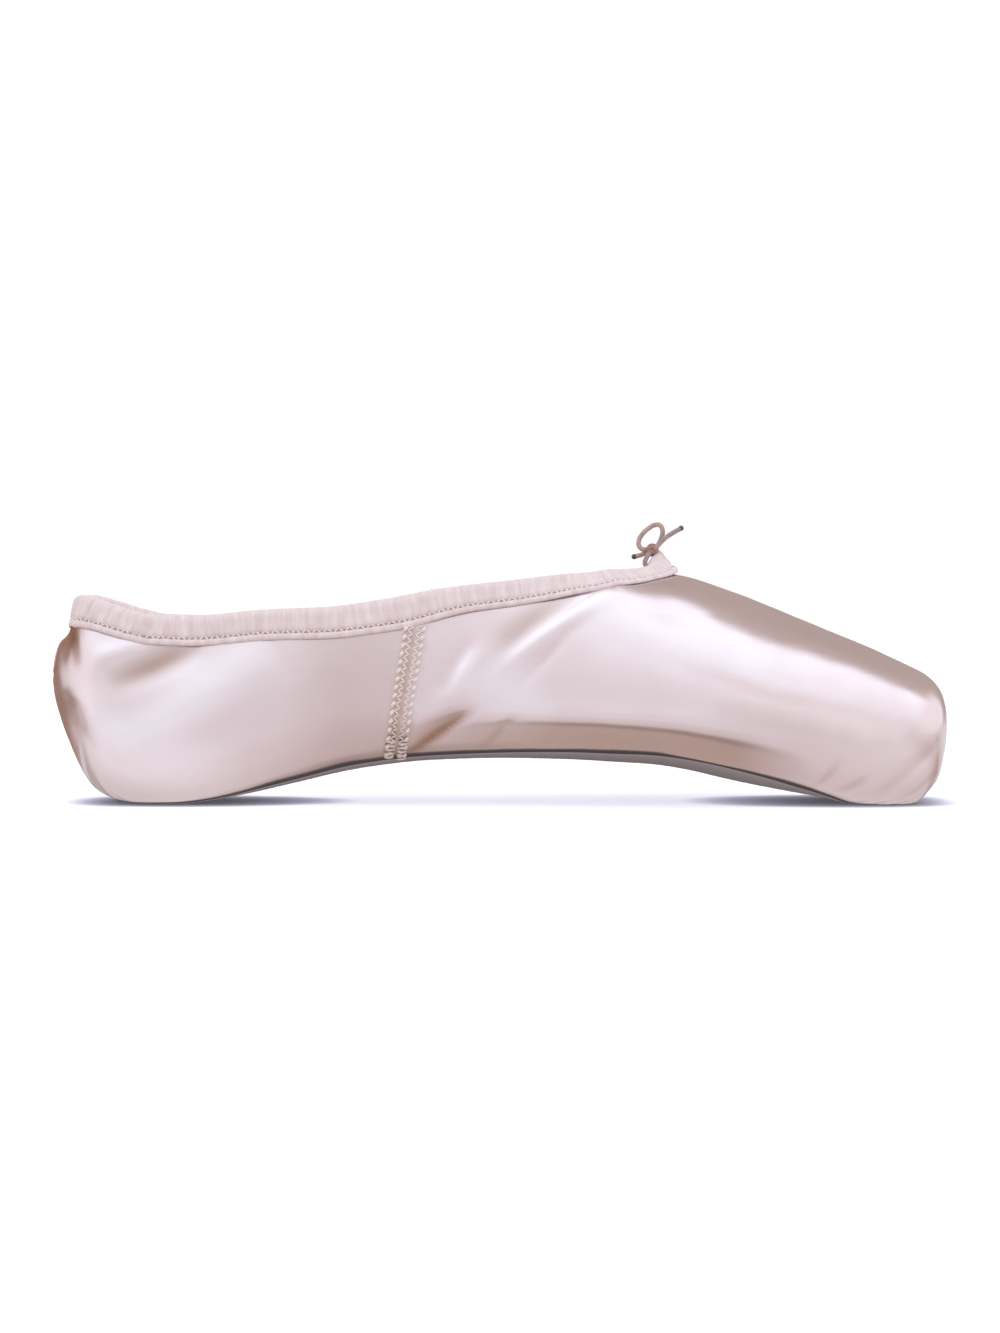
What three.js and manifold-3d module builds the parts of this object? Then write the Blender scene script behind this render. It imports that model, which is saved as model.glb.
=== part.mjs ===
// Pointe shoe, empty and standing on its sole.
// X runs from heel to toe, Y across the shoe, Z up from the floor. All lengths are millimetres.
// The shoe is the same on both sides of the plane Y = 0, so it fits either foot.

import * as THREE from "three";
import { mergeVertices } from "three/addons/utils/BufferGeometryUtils.js";
import Module from "manifold-3d";

const wasm = await Module();
wasm.setup();

// Driving sizes of the last
const LENGTH = 240;
const HEEL_WIDTH = 54;
const WAIST_WIDTH = 56;
const BALL_WIDTH = 76;
const TOE_WIDTH = 51;
const HEEL_HEIGHT = 56;
const INSTEP_HEIGHT = 62.6;
const TOE_HEIGHT = 35;
const ARCH_LIFT = 12;

// Driving sizes of the shell and its soles
const WALL = 1.6;
const PLEAT_BED = 3.1;
const CLEARANCE = 0.3;
const INSOLE_CLEARANCE = 0.45;
const COLLAR_CLEARANCE = 0.6;
const OUTSOLE_THICKNESS = 1.8;
const OUTSOLE_PROUD = 0.6;
const OUTSOLE_HALF_WIDTH = 27;
const LASTING_MARGIN = 5;
const INSOLE_THICKNESS = 1.6;
const INSOLE_HALF_WIDTH = 24;

// Driving sizes of the collar casing, the seams and the drawstring
const CASING_WIDTH = 8.6;
const CASING_LAYER = 1;
const SEAM_WIDTH = 5.5;
const SEAM_RELIEF = 0.5;
const SEAM_TOP_ALONG = 0.4075;
const SEAM_FOOT_ALONG = 0.3825;
const BACK_SEAM_WIDTH = 1.8;
const BACK_SEAM_FOOT = 7;
const BACK_SEAM_ALONG = 0.05;
const CORD_DIAMETER = 1.3;
const KNOT_DIAMETER = 3.2;
const KNOT_ALONG = 0.671;
const KNOT_LIFT = 5.1;
const THROAT_ALONG = 0.669;
const THROAT_ROUND = 18;
const THROAT_HALF_WIDTH = 16;
const THROAT_SEGMENTS = 16;
const PUCKER_ALONG = 0.685;
const PUCKER_LENGTH = 6.4;
const PUCKER_WIDTH = 7;
const PUCKER_HEIGHT = 6.4;

// How finely the curved forms are cut into flat faces
const STATION_STEP = 7;
const POINTS_AROUND = 36;
const PLATE_STRIPS = 6;
const CORD_SIDES = 8;
const CORD_STEP = 2.5 * CORD_DIAMETER;
const PUCKER_SIDES = 12;
const PUCKER_RINGS = 8;
const KNOT_SIDES = 10;
const KNOT_RINGS = 6;
const MERGE_DISTANCE = 1e-4;
const SLIVER = 0.03;

// Which named width and height the rows of a table follow
const REGIONS = {
  heel: { width: HEEL_WIDTH, height: HEEL_HEIGHT },
  waist: { width: WAIST_WIDTH, height: INSTEP_HEIGHT },
  ball: { width: BALL_WIDTH, height: INSTEP_HEIGHT },
  toe: { width: TOE_WIDTH, height: TOE_HEIGHT },
};

// Cross sections of the last, heel to toe.
// along: place as a share of the length. of: the region whose width and height the row follows.
// wide: share of the region's width. crest, belly and under: heights of the top, of the widest
// place and of the underside, as shares of the region's height. arch: what the arch lifts the
// underside, as a share of its lift. low and high: how square the lower and upper halves are.
const SECTIONS = [
  { along: 0, of: "heel", wide: 0, crest: 0.625, belly: 0.61, under: 0.595, arch: 0, low: 2, high: 2 },
  { along: 0.002, of: "heel", wide: 0.22, crest: 0.693, belly: 0.6, under: 0.51, arch: 0, low: 2, high: 2 },
  { along: 0.007, of: "heel", wide: 0.38, crest: 0.757, belly: 0.57, under: 0.42, arch: 0, low: 2, high: 2 },
  { along: 0.016, of: "heel", wide: 0.555, crest: 0.8, belly: 0.52, under: 0.31, arch: 0, low: 2.1, high: 2 },
  { along: 0.028, of: "heel", wide: 0.7, crest: 0.955, belly: 0.46, under: 0.19, arch: 0, low: 2.2, high: 2 },
  { along: 0.043, of: "heel", wide: 0.82, crest: 1.09, belly: 0.41, under: 0.085, arch: 0, low: 2.8, high: 2 },
  { along: 0.063, of: "heel", wide: 0.915, crest: 1.155, belly: 0.37, under: 0.028, arch: 0, low: 3.6, high: 2 },
  { along: 0.09, of: "heel", wide: 0.975, crest: 1.19, belly: 0.33, under: 0.004, arch: 0, low: 4.4, high: 2 },
  { along: 0.13, of: "heel", wide: 1, crest: 1.23, belly: 0.31, under: 0.003, arch: 0, low: 4.6, high: 2 },
  { along: 0.165, of: "heel", wide: 1.01, crest: 1.27, belly: 0.33, under: 0.002, arch: 0.06, low: 4.2, high: 2 },
  { along: 0.21, of: "waist", wide: 0.98, crest: 1.17, belly: 0.33, under: 0, arch: 0.21, low: 3.4, high: 2 },
  { along: 0.275, of: "waist", wide: 0.98, crest: 1.21, belly: 0.38, under: 0, arch: 0.5, low: 2.9, high: 2 },
  { along: 0.34, of: "waist", wide: 0.985, crest: 1.23, belly: 0.42, under: 0, arch: 0.79, low: 2.5, high: 2 },
  { along: 0.42, of: "waist", wide: 1, crest: 1.23, belly: 0.44, under: 0, arch: 0.98, low: 2.4, high: 2 },
  { along: 0.5, of: "waist", wide: 1.07, crest: 1.205, belly: 0.44, under: 0, arch: 1.03, low: 2.35, high: 2 },
  { along: 0.58, of: "ball", wide: 0.87, crest: 1.108, belly: 0.42, under: 0, arch: 1, low: 2.3, high: 2 },
  { along: 0.63, of: "ball", wide: 0.94, crest: 1.04, belly: 0.4, under: 0, arch: 0.94, low: 2.25, high: 2 },
  { along: 0.67, of: "ball", wide: 0.978, crest: 0.997, belly: 0.39, under: 0, arch: 0.895, low: 2.2, high: 1.95 },
  { along: 0.712, of: "ball", wide: 1, crest: 0.97, belly: 0.37, under: 0, arch: 0.76, low: 2.2, high: 1.95 },
  { along: 0.76, of: "ball", wide: 0.995, crest: 0.907, belly: 0.345, under: 0, arch: 0.53, low: 2.2, high: 1.95 },
  { along: 0.82, of: "ball", wide: 0.935, crest: 0.812, belly: 0.315, under: 0, arch: 0.3, low: 2.6, high: 2 },
  { along: 0.87, of: "ball", wide: 0.86, crest: 0.733, belly: 0.285, under: 0, arch: 0.12, low: 3.0, high: 2.1 },
  { along: 0.9, of: "toe", wide: 1.21, crest: 1.23, belly: 0.48, under: -0.01, arch: 0, low: 3.5, high: 2.15 },
  { along: 0.94, of: "toe", wide: 1.11, crest: 1.104, belly: 0.48, under: -0.018, arch: 0, low: 3.8, high: 2.2 },
  { along: 0.963, of: "toe", wide: 1.045, crest: 1.028, belly: 0.49, under: 0, arch: 0, low: 3.6, high: 2.25 },
  { along: 0.975, of: "toe", wide: 0.985, crest: 0.984, belly: 0.51, under: 0.075, arch: 0, low: 3.2, high: 2.3 },
  { along: 0.986, of: "toe", wide: 0.885, crest: 0.92, belly: 0.54, under: 0.16, arch: 0, low: 2.8, high: 2.3 },
  { along: 0.9935, of: "toe", wide: 0.69, crest: 0.85, belly: 0.58, under: 0.31, arch: 0, low: 2.2, high: 2.2 },
  { along: 0.998, of: "toe", wide: 0.43, crest: 0.755, belly: 0.61, under: 0.46, arch: 0, low: 2, high: 2 },
  { along: 1, of: "toe", wide: 0, crest: 0.64, belly: 0.625, under: 0.61, arch: 0, low: 2, high: 2 },
];

// The collar from the heel to the throat.
// top: height of the casing's folded edge, as a share of the region's height.
// drop: how far below it the stitched edge runs, as a share of the casing's width.
const COLLAR = [
  { along: -0.03, of: "heel", top: 0.9, drop: 0.35 },
  { along: 0.016, of: "heel", top: 0.965, drop: 0.75 },
  { along: 0.026, of: "heel", top: 0.995, drop: 0.95 },
  { along: 0.038, of: "heel", top: 1.002, drop: 1.05 },
  { along: 0.062, of: "heel", top: 0.975, drop: 1.1 },
  { along: 0.09, of: "heel", top: 0.937, drop: 1.1 },
  { along: 0.118, of: "heel", top: 0.91, drop: 1.02 },
  { along: 0.16, of: "heel", top: 0.905, drop: 0.96 },
  { along: 0.24, of: "waist", top: 0.835, drop: 0.94 },
  { along: 0.31, of: "waist", top: 0.847, drop: 0.91 },
  { along: 0.37, of: "waist", top: 0.878, drop: 0.92 },
  { along: 0.44, of: "waist", top: 0.927, drop: 0.92 },
  { along: 0.51, of: "waist", top: 0.957, drop: 0.78 },
  { along: 0.58, of: "ball", top: 0.989, drop: 0.62 },
  { along: 0.6417, of: "ball", top: 1, drop: 0.27 },
  { along: 0.663, of: "ball", top: 1.01, drop: 0.23 },
  { along: 0.683, of: "ball", top: 1.05, drop: 0.51 },
  { along: 0.705, of: "ball", top: 1.09, drop: 0.84 },
];

// Outline of the outsole, heel to forefoot. wide: share of its half width.
const OUTSOLE_OUTLINE = [
  { along: 0.066, wide: 0 },
  { along: 0.069, wide: 0.12 },
  { along: 0.08, wide: 0.26 },
  { along: 0.1, wide: 0.38 },
  { along: 0.13, wide: 0.46 },
  { along: 0.18, wide: 0.53 },
  { along: 0.24, wide: 0.58 },
  { along: 0.33, wide: 0.56 },
  { along: 0.42, wide: 0.57 },
  { along: 0.5, wide: 0.65 },
  { along: 0.58, wide: 0.8 },
  { along: 0.66, wide: 0.95 },
  { along: 0.73, wide: 1 },
  { along: 0.79, wide: 0.94 },
  { along: 0.84, wide: 0.78 },
  { along: 0.87, wide: 0.57 },
  { along: 0.886, wide: 0.34 },
  { along: 0.891, wide: 0.16 },
  { along: 0.8925, wide: 0 },
];

// Outline of the insole, heel to the wings of the box. wide: share of its half width.
const INSOLE_OUTLINE = [
  { along: 0.07, wide: 0 },
  { along: 0.074, wide: 0.22 },
  { along: 0.09, wide: 0.45 },
  { along: 0.12, wide: 0.66 },
  { along: 0.17, wide: 0.76 },
  { along: 0.25, wide: 0.76 },
  { along: 0.36, wide: 0.7 },
  { along: 0.46, wide: 0.72 },
  { along: 0.56, wide: 0.88 },
  { along: 0.66, wide: 1 },
  { along: 0.74, wide: 0.98 },
  { along: 0.8, wide: 0.8 },
  { along: 0.825, wide: 0.5 },
  { along: 0.833, wide: 0.24 },
  { along: 0.835, wide: 0 },
];

// Place along the shoe in millimetres for a share of its length
function placeAlong(share) {
  return (share - 0.5) * LENGTH;
}

// A smooth curve through one column of a table, which never swings past its rows
function columnCurve(rows, value) {
  const xs = rows.map((row) => placeAlong(row.along));
  const ys = rows.map(value);
  const count = rows.length;
  const slopes = [];
  for (let i = 0; i < count - 1; i++) {
    slopes.push((ys[i + 1] - ys[i]) / (xs[i + 1] - xs[i]));
  }
  const tangents = [slopes[0]];
  for (let i = 1; i < count - 1; i++) {
    const product = slopes[i - 1] * slopes[i];
    tangents.push(product > 0 ? (2 * product) / (slopes[i - 1] + slopes[i]) : 0);
  }
  tangents.push(slopes[count - 2]);
  return (x) => {
    const held = Math.min(Math.max(x, xs[0]), xs[count - 1]);
    let i = 0;
    while (i < count - 2 && held > xs[i + 1]) i++;
    const span = xs[i + 1] - xs[i];
    const t = (held - xs[i]) / span;
    const rest = 1 - t;
    return (
      ys[i] * (1 + 2 * t) * rest * rest +
      tangents[i] * span * t * rest * rest +
      ys[i + 1] * t * t * (3 - 2 * t) -
      tangents[i + 1] * span * t * t * rest
    );
  };
}

const last = {
  halfWidth: columnCurve(SECTIONS, (row) => (row.wide * REGIONS[row.of].width) / 2),
  crest: columnCurve(SECTIONS, (row) => row.crest * REGIONS[row.of].height),
  belly: columnCurve(SECTIONS, (row) => row.belly * REGIONS[row.of].height),
  under: columnCurve(SECTIONS, (row) => row.under * REGIONS[row.of].height + row.arch * ARCH_LIFT),
  low: columnCurve(SECTIONS, (row) => row.low),
  high: columnCurve(SECTIONS, (row) => row.high),
};

const collarTop = columnCurve(COLLAR, (row) => row.top * REGIONS[row.of].height);
const collarDrop = columnCurve(COLLAR, (row) => row.drop * CASING_WIDTH);

// Height of the last's underside at a place on its plan
function undersideHeight(x, y) {
  const belly = last.belly(x);
  const square = last.low(x);
  const share = Math.min(Math.abs(y) / Math.max(last.halfWidth(x), CLEARANCE), 1);
  return belly - (belly - last.under(x)) * (1 - share ** square) ** (1 / square);
}

// A point of the last's surface: turn 0 is the bottom line and a half turn is the crest
function lastPoint(x, turn) {
  const angle = turn * 2 * Math.PI;
  const across = Math.sin(angle);
  const up = -Math.cos(angle);
  const square = up < 0 ? last.low(x) : last.high(x);
  const reach = up < 0 ? last.belly(x) - last.under(x) : last.crest(x) - last.belly(x);
  return new THREE.Vector3(
    x,
    last.halfWidth(x) * Math.sign(across) * Math.abs(across) ** (2 / square),
    last.belly(x) + reach * Math.sign(up) * Math.abs(up) ** (2 / square),
  );
}

// Places of the cross sections: one on each row of a table and more between far rows
function stations(rows, step) {
  const places = [placeAlong(rows[0].along)];
  for (let i = 1; i < rows.length; i++) {
    const from = placeAlong(rows[i - 1].along);
    const to = placeAlong(rows[i].along);
    const parts = Math.max(1, Math.round((to - from) / step));
    for (let k = 1; k <= parts; k++) places.push(from + ((to - from) * k) / parts);
  }
  return places;
}

// Closed surface of the last, moved outwards by a distance
function lastSurface(outwards, bottomRaise = 0) {
  const places = stations(SECTIONS, STATION_STEP);
  const rings = places.slice(1, -1);
  const points = [];
  for (const x of rings) {
    for (let k = 0; k < POINTS_AROUND; k++) points.push(lastPoint(x, k / POINTS_AROUND));
  }
  const heelPole = points.push(lastPoint(places[0], 0)) - 1;
  const toePole = points.push(lastPoint(places.at(-1), 0)) - 1;
  const faces = [];
  for (let k = 0; k < POINTS_AROUND; k++) {
    const next = (k + 1) % POINTS_AROUND;
    faces.push(heelPole, next, k);
    for (let i = 0; i < rings.length - 1; i++) {
      const here = i * POINTS_AROUND;
      const ahead = here + POINTS_AROUND;
      faces.push(here + k, here + next, ahead + next, here + k, ahead + next, ahead + k);
    }
    const end = (rings.length - 1) * POINTS_AROUND;
    faces.push(end + k, end + next, toePole);
  }
  const geometry = new THREE.BufferGeometry().setFromPoints(points);
  geometry.setIndex(faces);
  geometry.computeVertexNormals();
  const normals = geometry.attributes.normal;
  const surface = geometry.attributes.position;
  for (let i = 0; i < surface.count; i++) {
    const normal = new THREE.Vector3().fromBufferAttribute(normals, i);
    const moved = points[i].clone().addScaledVector(normal, outwards);
    if (normal.z < 0) moved.z += bottomRaise * normal.z * normal.z;
    surface.setXYZ(i, moved.x, moved.y, moved.z);
  }
  return geometry;
}

// Solid for adding and cutting, from a closed geometry
function solidOf(geometry) {
  const bare = new THREE.BufferGeometry();
  bare.setAttribute("position", geometry.attributes.position.clone());
  if (geometry.index) bare.setIndex(geometry.index.clone());
  const merged = mergeVertices(bare, MERGE_DISTANCE);
  return new wasm.Manifold(
    new wasm.Mesh({
      numProp: 3,
      vertProperties: Float32Array.from(merged.attributes.position.array),
      triVerts: Uint32Array.from(merged.index.array),
    }),
  );
}

// Geometry of a finished solid, without the slivers that cutting leaves
function geometryOf(solid) {
  const mesh = solid.simplify(SLIVER).getMesh();
  const geometry = new THREE.BufferGeometry();
  geometry.setAttribute("position", new THREE.BufferAttribute(mesh.vertProperties, 3));
  geometry.setIndex(new THREE.BufferAttribute(mesh.triVerts, 1));
  geometry.computeVertexNormals();
  return geometry;
}

// Prism across the whole shoe from an outline in its side view
function sidePrism(outline) {
  const shape = new THREE.Shape(outline.map(([x, z]) => new THREE.Vector2(x, z)));
  const depth = 2 * BALL_WIDTH;
  const geometry = new THREE.ExtrudeGeometry(shape, { depth, bevelEnabled: false });
  geometry.rotateX(Math.PI / 2);
  geometry.translate(0, depth / 2, 0);
  return solidOf(geometry);
}

// Outline in the side view between two curves, heel to toe along the lower one and back
function between(from, to, lower, upper) {
  const count = Math.ceil((to - from) / STATION_STEP);
  const xs = Array.from({ length: count + 1 }, (_, i) => from + ((to - from) * i) / count);
  return [...xs.map((x) => [x, lower(x)]), ...xs.reverse().map((x) => [x, upper(x)])];
}

// Plate over a leaf-shaped outline, between two heights that depend on the place
function plate(rows, halfWidth, lower, upper, grow = 0) {
  const wide = columnCurve(rows, (row) => row.wide * halfWidth);
  const places = stations(rows, STATION_STEP).filter((x) => grow >= 0 || wide(x) + grow > CLEARANCE);
  const middle = (places[0] + places.at(-1)) / 2;
  const stretch = grow > 0 ? 1 + grow / (places.at(-1) - middle) : 1;
  const across = PLATE_STRIPS;
  const points = [];
  for (const side of [lower, upper]) {
    for (const place of places.slice(1, -1)) {
      const x = middle + (place - middle) * stretch;
      for (let k = 0; k <= across; k++) {
        const y = (wide(place) + grow) * ((2 * k) / across - 1);
        points.push(new THREE.Vector3(x, y, side(x, y)));
      }
    }
    for (const place of [places[0], places.at(-1)]) {
      const x = middle + (place - middle) * stretch;
      points.push(new THREE.Vector3(x, 0, side(x, 0)));
    }
  }
  const rowCount = places.length - 2;
  const perRow = across + 1;
  const top = rowCount * perRow + 2;
  const heelTip = rowCount * perRow;
  const toeTip = heelTip + 1;
  const faces = [];
  const quad = (a, b, c, d) => faces.push(a, b, c, a, c, d);
  for (let k = 0; k < across; k++) {
    const end = (rowCount - 1) * perRow + k;
    faces.push(heelTip, k + 1, k, top + heelTip, top + k, top + k + 1);
    faces.push(toeTip, end, end + 1, top + toeTip, top + end + 1, top + end);
    for (let i = 0; i < rowCount - 1; i++) {
      const a = i * perRow + k;
      const b = a + perRow;
      quad(a, a + 1, b + 1, b);
      quad(top + a, top + b, top + b + 1, top + a + 1);
    }
  }
  for (let i = 0; i < rowCount - 1; i++) {
    const right = i * perRow;
    const left = right + across;
    quad(right, right + perRow, top + right + perRow, top + right);
    quad(left, top + left, top + left + perRow, left + perRow);
  }
  const lastRow = (rowCount - 1) * perRow;
  quad(heelTip, 0, top, top + heelTip);
  quad(across, heelTip, top + heelTip, top + across);
  quad(lastRow, toeTip, top + toeTip, top + lastRow);
  quad(toeTip, lastRow + across, top + lastRow + across, top + toeTip);
  const geometry = new THREE.BufferGeometry().setFromPoints(points);
  geometry.setIndex(faces);
  return solidOf(geometry);
}

// Outer form of the satin, with the spot that it stands on under the toe made flat
function standingForm() {
  const geometry = lastSurface(0);
  const places = geometry.attributes.position;
  for (let i = 0; i < places.count; i++) places.setZ(i, Math.max(places.getZ(i), 0));
  return solidOf(geometry);
}

const floorBelow = -INSTEP_HEIGHT;
const skyAbove = 2 * INSTEP_HEIGHT;
const outerForm = standingForm();
const innerForm = solidOf(lastSurface(-WALL, PLEAT_BED - WALL));

// Everything above the collar, from behind the heel to the throat
const collarFrom = placeAlong(COLLAR[0].along);
const collarTo = placeAlong(COLLAR.at(-1).along);
function aboveCollar(lowered) {
  const edge = (x) => collarTop(x) - lowered;
  return sidePrism(between(collarFrom, collarTo, edge, () => skyAbove));
}

// Everything inside the rounded throat, seen from above
function insideThroat(grow) {
  const front = placeAlong(THROAT_ALONG) + grow;
  const half = THROAT_HALF_WIDTH + grow;
  const round = THROAT_ROUND + grow;
  const outline = new THREE.Shape();
  outline.moveTo(front - round - THROAT_ROUND, -half);
  outline.lineTo(front - round, -half);
  outline.absellipse(front - round, 0, round, half, -Math.PI / 2, Math.PI / 2);
  outline.lineTo(front - round - THROAT_ROUND, half);
  outline.closePath();
  const form = { depth: skyAbove, bevelEnabled: false, curveSegments: THROAT_SEGMENTS };
  const geometry = new THREE.ExtrudeGeometry(outline, form);
  geometry.translate(0, 0, INSTEP_HEIGHT - THROAT_HALF_WIDTH);
  return solidOf(geometry);
}

const outsoleTop = (x, y) => undersideHeight(x, y) + OUTSOLE_THICKNESS - OUTSOLE_PROUD;
const outsoleBottom = (x, y) => Math.max(undersideHeight(x, y) - OUTSOLE_PROUD, 0);

// The outsole lies in a shallow bed, a little proud of the satin around it
function makeOutsole() {
  return plate(OUTSOLE_OUTLINE, OUTSOLE_HALF_WIDTH, outsoleBottom, outsoleTop);
}

// Room for the outsole in the underside of the upper
function outsoleBed() {
  const roof = (x, y) => outsoleTop(x, y) + CLEARANCE;
  return plate(OUTSOLE_OUTLINE, OUTSOLE_HALF_WIDTH, () => floorBelow, roof, CLEARANCE);
}

// Opening between the lasting margins, which the outsole closes
function marginOpening() {
  const roof = (x, y) => undersideHeight(x, y) + 2 * PLEAT_BED;
  return plate(OUTSOLE_OUTLINE, OUTSOLE_HALF_WIDTH, () => floorBelow, roof, -LASTING_MARGIN);
}

// The insole lies on the lasting margins inside
function makeInsole() {
  const bed = (x, y) => undersideHeight(x, y) + PLEAT_BED + INSOLE_CLEARANCE;
  const face = (x, y) => bed(x, y) + INSOLE_THICKNESS;
  return plate(INSOLE_OUTLINE, INSOLE_HALF_WIDTH, bed, face);
}

// Raised strips over the side seams, which lean towards the heel
function sideSeam() {
  const topX = placeAlong(SEAM_TOP_ALONG);
  const bottomX = placeAlong(SEAM_FOOT_ALONG);
  const half = SEAM_WIDTH / 2;
  const roof = (x) => collarTop(x) - collarDrop(x) - COLLAR_CLEARANCE;
  const foot = ARCH_LIFT / 2;
  return sidePrism([
    [bottomX - half, foot],
    [bottomX + half, foot],
    [topX + half, roof(topX + half)],
    [topX - half, roof(topX - half)],
  ]);
}

// Raised ridge down the back of the heel
function backSeam() {
  const from = placeAlong(0) - SEAM_WIDTH;
  const to = placeAlong(BACK_SEAM_ALONG);
  const foot = BACK_SEAM_FOOT;
  const height = collarTop(placeAlong(0)) - collarDrop(placeAlong(0)) - COLLAR_CLEARANCE - foot;
  const box = new THREE.BoxGeometry(to - from, BACK_SEAM_WIDTH, height);
  box.translate((from + to) / 2, 0, foot + height / 2);
  return solidOf(box);
}

// The satin upper: one hollow wall with its raised seams
function makeUpper() {
  const raised = solidOf(lastSurface(SEAM_RELIEF));
  const seams = raised.intersect(sideSeam().add(backSeam()));
  return outerForm
    .add(seams)
    .subtract(innerForm)
    .subtract(aboveCollar(CASING_LAYER + CLEARANCE))
    .subtract(insideThroat(CASING_LAYER + CLEARANCE))
    .subtract(outsoleBed())
    .subtract(marginOpening());
}

// The pucker that the drawn cord makes in the casing at the throat
function makePucker() {
  const ball = new THREE.SphereGeometry(1, PUCKER_SIDES, PUCKER_RINGS);
  ball.scale(PUCKER_LENGTH / 2, PUCKER_WIDTH / 2, PUCKER_HEIGHT);
  ball.translate(placeAlong(PUCKER_ALONG), 0, INSTEP_HEIGHT - CASING_LAYER);
  return solidOf(ball);
}

// The cotton casing folded over the edge of the upper, gathered up at the throat
function makeBinding() {
  const outside = solidOf(lastSurface(CLEARANCE + CASING_LAYER));
  const inside = solidOf(lastSurface(-WALL - CLEARANCE - CASING_LAYER));
  const lower = (x) => collarTop(x) - collarDrop(x);
  const strip = sidePrism(between(collarFrom, collarTo, lower, collarTop));
  const swept = solidOf(lastSurface(CLEARANCE));
  const room = swept.subtract(solidOf(lastSurface(-WALL - CLEARANCE)));
  const fold = (x) => collarTop(x) - CASING_LAYER;
  const below = sidePrism(between(collarFrom, collarTo, () => floorBelow, fold));
  const slot = room.intersect(below).subtract(insideThroat(CASING_LAYER));
  const casing = outside.subtract(inside).intersect(strip).subtract(insideThroat(0)).subtract(slot);
  return casing.add(makePucker().subtract(swept));
}

// The drawstring as it leaves the casing, from points beside its knot in millimetres
const knotPlace = new THREE.Vector3(placeAlong(KNOT_ALONG), 0, INSTEP_HEIGHT + KNOT_LIFT);
const DRAWSTRING = {
  lead_near: [[-1.6, -1.7, -3.1], [-1.3, -1.5, -2.5], [-0.9, -1.1, -1.6]],
  lead_far: [[-1.6, 1.7, -3.1], [-1.3, 1.5, -2.5], [-0.9, 1.1, -1.6]],
  loop: [
    [-2.05, 0.3, 0.1], [-3.1, 0.5, 0.6], [-3.5, 0.7, 2.2], [-2.1, 0.9, 4.6], [0, 1, 6.2],
    [1.9, 1, 6.8], [2.8, 0.9, 5.8], [2.6, 0.7, 3.6], [1.5, 0.5, 1.6],
  ],
  end_near: [[1.5, -1.2, 0.9], [3.4, -1.8, 3.1], [5.5, -1.7, 4.8], [7.8, -1.2, 5.9]],
  end_far: [[-1.2, 1.7, -0.5], [-3, 2.3, -1.3], [-5, 2, -1.8]],
};

// One stretch of round cord along hand-placed points
function cordSolid(offsets) {
  const points = offsets.map(([x, y, z]) => new THREE.Vector3(x, y, z).add(knotPlace));
  const curve = new THREE.CatmullRomCurve3(points, false, "centripetal");
  const section = new THREE.Shape();
  for (let k = 0; k < CORD_SIDES; k++) {
    const angle = (k / CORD_SIDES) * 2 * Math.PI;
    const across = (CORD_DIAMETER / 2) * Math.cos(angle);
    const up = (CORD_DIAMETER / 2) * Math.sin(angle);
    if (k === 0) section.moveTo(across, up);
    else section.lineTo(across, up);
  }
  const steps = Math.max(2, Math.round(curve.getLength() / CORD_STEP) * 2);
  return solidOf(new THREE.ExtrudeGeometry(section, { steps, extrudePath: curve }));
}

// The knot, a small tight ball of cord
function makeKnot() {
  const ball = new THREE.SphereGeometry(KNOT_DIAMETER / 2, KNOT_SIDES, KNOT_RINGS);
  ball.translate(knotPlace.x, knotPlace.y, knotPlace.z);
  return solidOf(ball);
}

const satin = new THREE.MeshStandardMaterial({ color: 0xe4cdcc, roughness: 0.3, metalness: 0.1 });
const cotton = new THREE.MeshStandardMaterial({ color: 0xdecccb, roughness: 0.85, metalness: 0 });
const suede = new THREE.MeshStandardMaterial({ color: 0x8f8a88, roughness: 0.9, metalness: 0 });
const lining = new THREE.MeshStandardMaterial({ color: 0xe9e1d8, roughness: 0.9, metalness: 0 });

function node(name, solid, material) {
  const mesh = new THREE.Mesh(geometryOf(solid), material);
  mesh.name = name;
  return mesh;
}

// The back seam stands out behind the heel, so the shoe is moved to have its middle at X = 0
const shoe = new THREE.Group();
shoe.position.x = SEAM_RELIEF / 2;
shoe.add(node("upper", makeUpper(), satin));
shoe.add(node("outsole", makeOutsole(), suede));
shoe.add(node("insole", makeInsole(), lining));
shoe.add(node("binding", makeBinding(), cotton));
shoe.add(node("drawstring_knot", makeKnot(), cotton));
for (const [name, offsets] of Object.entries(DRAWSTRING)) {
  shoe.add(node(`drawstring_${name}`, cordSolid(offsets), cotton));
}

export default shoe;
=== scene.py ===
# %% [markdown]
# # A satin pointe shoe
# A pointe shoe is a soft satin slipper built over a stiff paste box. This lesson dresses the
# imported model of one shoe, standing empty on a pale floor, as its maker would put it together:
# drawstring, satin upper, sole, insole, cotton casing, seams and stitches.
# We work in metres, with X from heel to toe, Y across and Z up from the floor.

# %% Load the frame
import math

import bpy
import numpy as np
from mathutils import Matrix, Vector, noise


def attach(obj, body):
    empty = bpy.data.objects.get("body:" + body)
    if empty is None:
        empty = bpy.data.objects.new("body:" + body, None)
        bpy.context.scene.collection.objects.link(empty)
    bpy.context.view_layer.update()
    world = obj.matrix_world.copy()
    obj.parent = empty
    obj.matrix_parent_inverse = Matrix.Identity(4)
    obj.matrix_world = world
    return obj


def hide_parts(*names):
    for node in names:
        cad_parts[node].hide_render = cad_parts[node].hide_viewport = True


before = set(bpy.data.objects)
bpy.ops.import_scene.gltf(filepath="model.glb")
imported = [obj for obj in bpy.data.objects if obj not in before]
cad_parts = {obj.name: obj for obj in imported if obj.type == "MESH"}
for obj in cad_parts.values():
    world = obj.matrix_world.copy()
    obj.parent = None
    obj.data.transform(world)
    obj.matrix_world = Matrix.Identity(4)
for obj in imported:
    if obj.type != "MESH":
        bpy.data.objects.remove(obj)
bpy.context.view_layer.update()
MM = 0.001
print("nodes in the frame:", sorted(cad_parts))

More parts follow.
